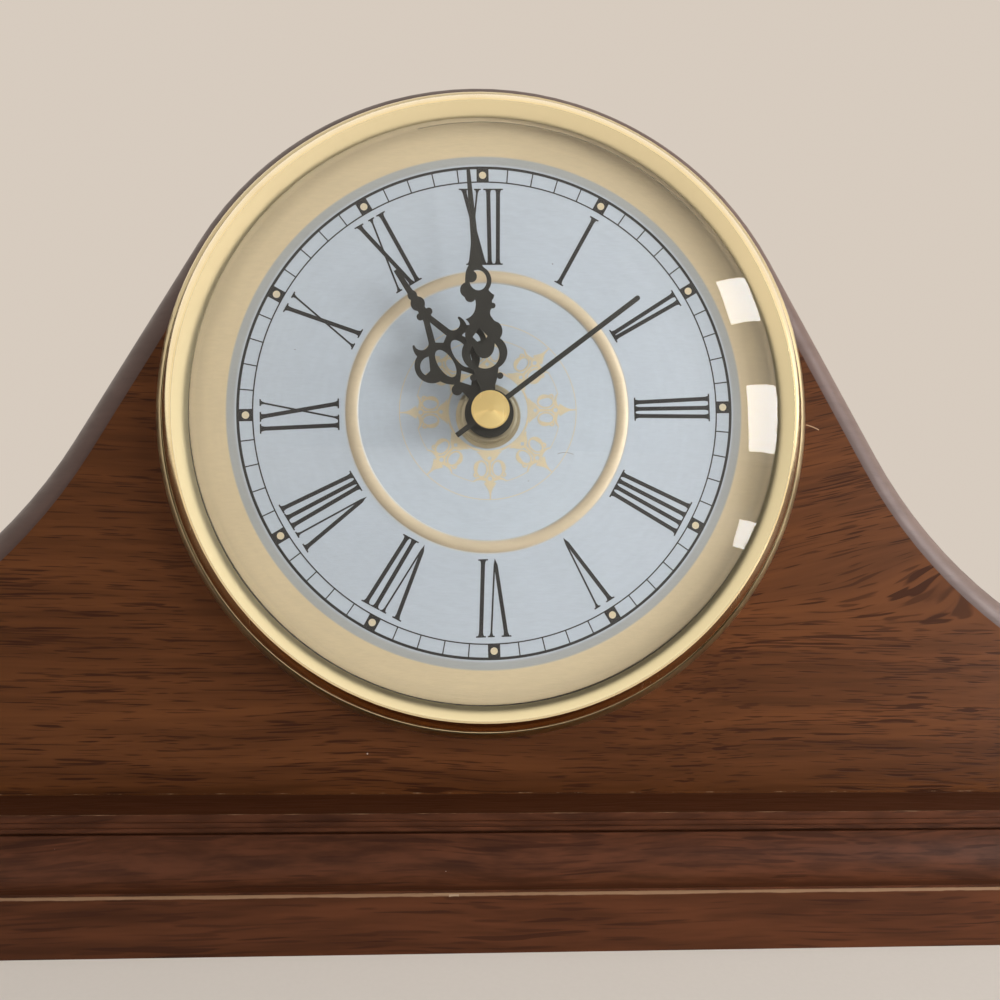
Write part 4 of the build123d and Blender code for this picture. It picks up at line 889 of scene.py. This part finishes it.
rosetteSet = {
    # sizes of one ray that stands upright on the middle; a point is (across, out), and spade and
    # foot are pairs of (out, half width)
    "rays": 8, "rows": 24, "lift": 0.02, "step": 0.008,
    "collar": 9.5, "collarHalf": 0.25, "circle": 20.8, "circleHalf": 0.085,
    "spade": [(16.55, 0.5), (16.8, 1.3), (17.0, 1.5), (17.5, 1.12), (18.2, 0.68), (18.9, 0.34),
              (19.7, 0.17), (20.8, 0.13)],
    "bar": (15.25, 11.8), "barHalf": 0.30, "barFlare": 0.10,
    "foot": [(9.55, 3.0), (9.9, 2.6), (10.4, 2.1), (11.0, 1.75), (11.6, 1.15), (12.1, 0.35)],
    "hole": 11.1, "holeHalf": 0.55, "overlap": 0.02,
    "horn": [(0.6, 16.25), (2.6, 15.35), (3.95, 16.6)], "hornHalf": 0.38, "hornTip": 0.09,
    "join": 16.95, "joinFrom": 13.3, "joinTo": 31.7, "joinHalf": 0.07,
    "leaf": (1.95, 13.6), "leafReach": (1.35, 1.85), "leafHalf": 0.20, "leafSwell": 0.31,
    "swellAt": -0.35, "swellWide": 0.75,
    "curl": (3.25, 14.95), "curlReach": 0.42, "curlHalf": 0.20,
    "eye": (0, 15.9), "eyeReach": 0.75, "eyeHalf": 0.25,
}


def mirrored(edges):
    return [list(edges), [edge * [-1, 1] for edge in edges]]


def rosette():
    r = rosetteSet
    rings = [loop((0, 0), r["collar"], r["collar"], r["collarHalf"], 120),
             loop((0, 0), r["circle"], r["circle"], r["circleHalf"], 180)]
    beside = lambda half, out: [np.stack([-half, out], 1), np.stack([half, out], 1)]
    # straight pieces: a half width at each distance out, which on the bar grows with the cube
    # of the distance from its middle
    out = np.linspace(r["spade"][-1][0], r["spade"][0][0], r["rows"])
    spade = beside(np.interp(out, *zip(*r["spade"])), out)
    bar = beside(r["barHalf"] + r["barFlare"] * np.abs(np.linspace(-1, 1, r["rows"])) ** 3,
                 np.linspace(*r["bar"], r["rows"]))
    out = np.linspace(r["foot"][-1][0], r["foot"][0][0], r["rows"])
    hole = np.maximum(r["holeHalf"] - np.abs(out - r["hole"]), -r["overlap"])
    foot = [np.stack([hole, out], 1), np.stack([np.interp(out, *zip(*r["foot"])), out], 1)]
    # horns along a quadratic curve, narrowing to a tip, and arcs that join one ray to the next
    t = np.linspace(0, 1, r["rows"])[:, None]
    start, bend, tip = (np.array(point) for point in r["horn"])
    horn = band((1 - t) ** 2 * start + 2 * t * (1 - t) * bend + t ** 2 * tip,
                r["hornHalf"] * (1 - t[:, 0]) ** 0.8 + r["hornTip"])
    swing = np.radians(np.linspace(r["joinFrom"], r["joinTo"], r["rows"]))
    joins = [list(band(r["join"] * np.stack([np.sin(swing), np.cos(swing)], 1), r["joinHalf"]))]
    # loops, thicker on one side of each leaf
    off = lambda a: np.angle(np.exp(1j * (a - r["swellAt"])))
    leafHalf = lambda a: r["leafHalf"] + r["leafSwell"] * np.exp(-(off(a) / r["swellWide"]) ** 2)
    leaves = mirrored(loop(r["leaf"], *r["leafReach"], leafHalf))
    curls = mirrored(loop(r["curl"], r["curlReach"], r["curlReach"], r["curlHalf"]))
    eye = [loop(r["eye"], r["eyeReach"], r["eyeReach"], r["eyeHalf"])]
    # marks that cross each other lie on layers of their own
    layers = [(joins, False), (mirrored(horn), False), ([spade], False), (mirrored(foot)[:1], False),
              (mirrored(foot)[1:], False), ([bar], False), (leaves, True), (curls, True), (eye, True)]
    turns = 360 / r["rays"] * np.arange(r["rays"])
    turned = lambda sets: [[spin(edge, turn) for edge in edges] for turn in turns for edges in sets]
    parts = [([ring], r["lift"], True) for ring in rings]
    parts += [(turned(marks), r["lift"] + r["step"] * (k + 1), closed)
              for k, (marks, closed) in enumerate(layers)]
    printPiece("rosette", parts, "gold")


minuteTrack()
numeralPiece()
rosette()
print("dial printed")


# floor and room

floorSet = {
    "half": 4.0, "level": -0.00005, "rough": 0.9, "grain": 900.0,
    "colour": (0.66, 0.62, 0.58), "worn": 0.97, "backdrop": (0.68, 0.60, 0.52),
    # how far the floor goes over into the backdrop near the clock, and where it is all backdrop
    "glow": 0.55, "fadeFrom": 0.32, "fadeTo": 0.95, "mirrored": 1.35,
}


def floorFinish():
    # pale floor; the camera, and what mirrors it, see it lit a little from within
    look = floorSet
    material, tree, shader, spot = newFinish("studioFloor", Roughness=look["rough"])
    grain = noise(tree, spot, look["grain"], 2.0)[0]
    low = tuple(look["worn"] * c for c in look["colour"])
    link(tree, mixColour(tree, fade(tree, grain, 0.3, 0.7), low, look["colour"]), shader, "Base Color")
    rays = addNode(tree, "LightPath").outputs
    carried = calc(tree, "MAXIMUM", rays["Is Glossy Ray"], rays["Is Transmission Ray"])
    seen = calc(tree, "MAXIMUM", rays["Is Camera Ray"], carried)
    strength = fade(tree, rays["Is Glossy Ray"], 0.0, 1.0, 1.0, look["mirrored"])
    glow = addNode(tree, "Emission", {0: look["backdrop"], 1: strength})
    away = addNode(tree, "VectorMath", {0: spot}, operation="LENGTH").outputs["Value"]
    share = times(tree, seen, fade(tree, away, look["fadeFrom"], look["fadeTo"], look["glow"], 1.0))
    both = addNode(tree, "MixShader", {0: share, 1: shader.outputs[0], 2: glow.outputs[0]})
    tree.links.new(both.outputs[0], tree.nodes["Material Output"].inputs[0])
    return material


def makeFloor():
    # a level square sheet of points
    side = np.linspace(-floorSet["half"], floorSet["half"], 9)
    x, y = np.meshgrid(side, side, indexing="ij")
    points = np.stack([x, y, np.full_like(x, floorSet["level"])], -1).reshape(-1, 3)
    at = np.arange(len(points)).reshape(x.shape)
    faces = np.stack([at[:-1, :-1], at[1:, :-1], at[1:, 1:], at[:-1, 1:]], -1).reshape(-1, 4)
    mesh = bpy.data.meshes.new("floor")
    mesh.from_pydata(points.tolist(), [], faces.tolist())
    mesh.materials.append(floorFinish())
    floor = bpy.data.objects.new("floor", mesh)
    bpy.context.scene.collection.objects.link(floor)


roomSet = {
    # each fade: the part of a direction at which it starts and ends, and the level at both
    "lighting": (0.6, -0.6, 0.36, 0.62),            # along Y, from behind to the front
    "ceiling": (0.35, 0.9, 1.0, 0.34),              # along Z, the most that comes from above
    "mirroredFront": (-0.66, -0.94, 1.25, 0.32),    # along Y, what metal and glass see
    "mirroredSide": (0.78, 0.97, 0.0, 1.40),        # along X, added on the window side
    "mirrored": (0.84, 0.78, 0.70),
}


def makeRoom():
    # the room lights from the front more than from behind or above; what mirrors it sees it
    # dim in front and bright on the window side; seen directly it is the backdrop
    look = roomSet
    world = bpy.data.worlds.new("room")
    bpy.context.scene.world = world
    world.use_nodes = True
    tree = world.node_tree
    ground = tree.nodes["Background"]
    way = apartOf(tree, addNode(tree, "TexCoord").outputs["Generated"])
    level = calc(tree, "MINIMUM", fade(tree, way[1], *look["lighting"]),
                 fade(tree, way[2], *look["ceiling"]))
    shine = plus(tree, fade(tree, way[1], *look["mirroredFront"]),
                 fade(tree, way[0], *look["mirroredSide"]))
    rays = addNode(tree, "LightPath").outputs
    direct = calc(tree, "MAXIMUM", rays["Is Camera Ray"], rays["Is Transmission Ray"])
    seen = calc(tree, "MAXIMUM", direct, rays["Is Glossy Ray"])
    tint = mixColour(tree, direct, look["mirrored"], floorSet["backdrop"])
    tree.links.new(mixColour(tree, seen, (1, 1, 1), tint), ground.inputs["Color"])
    strength = blend(tree, direct, blend(tree, rays["Is Glossy Ray"], level, shine), 1.0)
    tree.links.new(strength, ground.inputs["Strength"])


makeFloor()
makeRoom()
print("floor and room made")
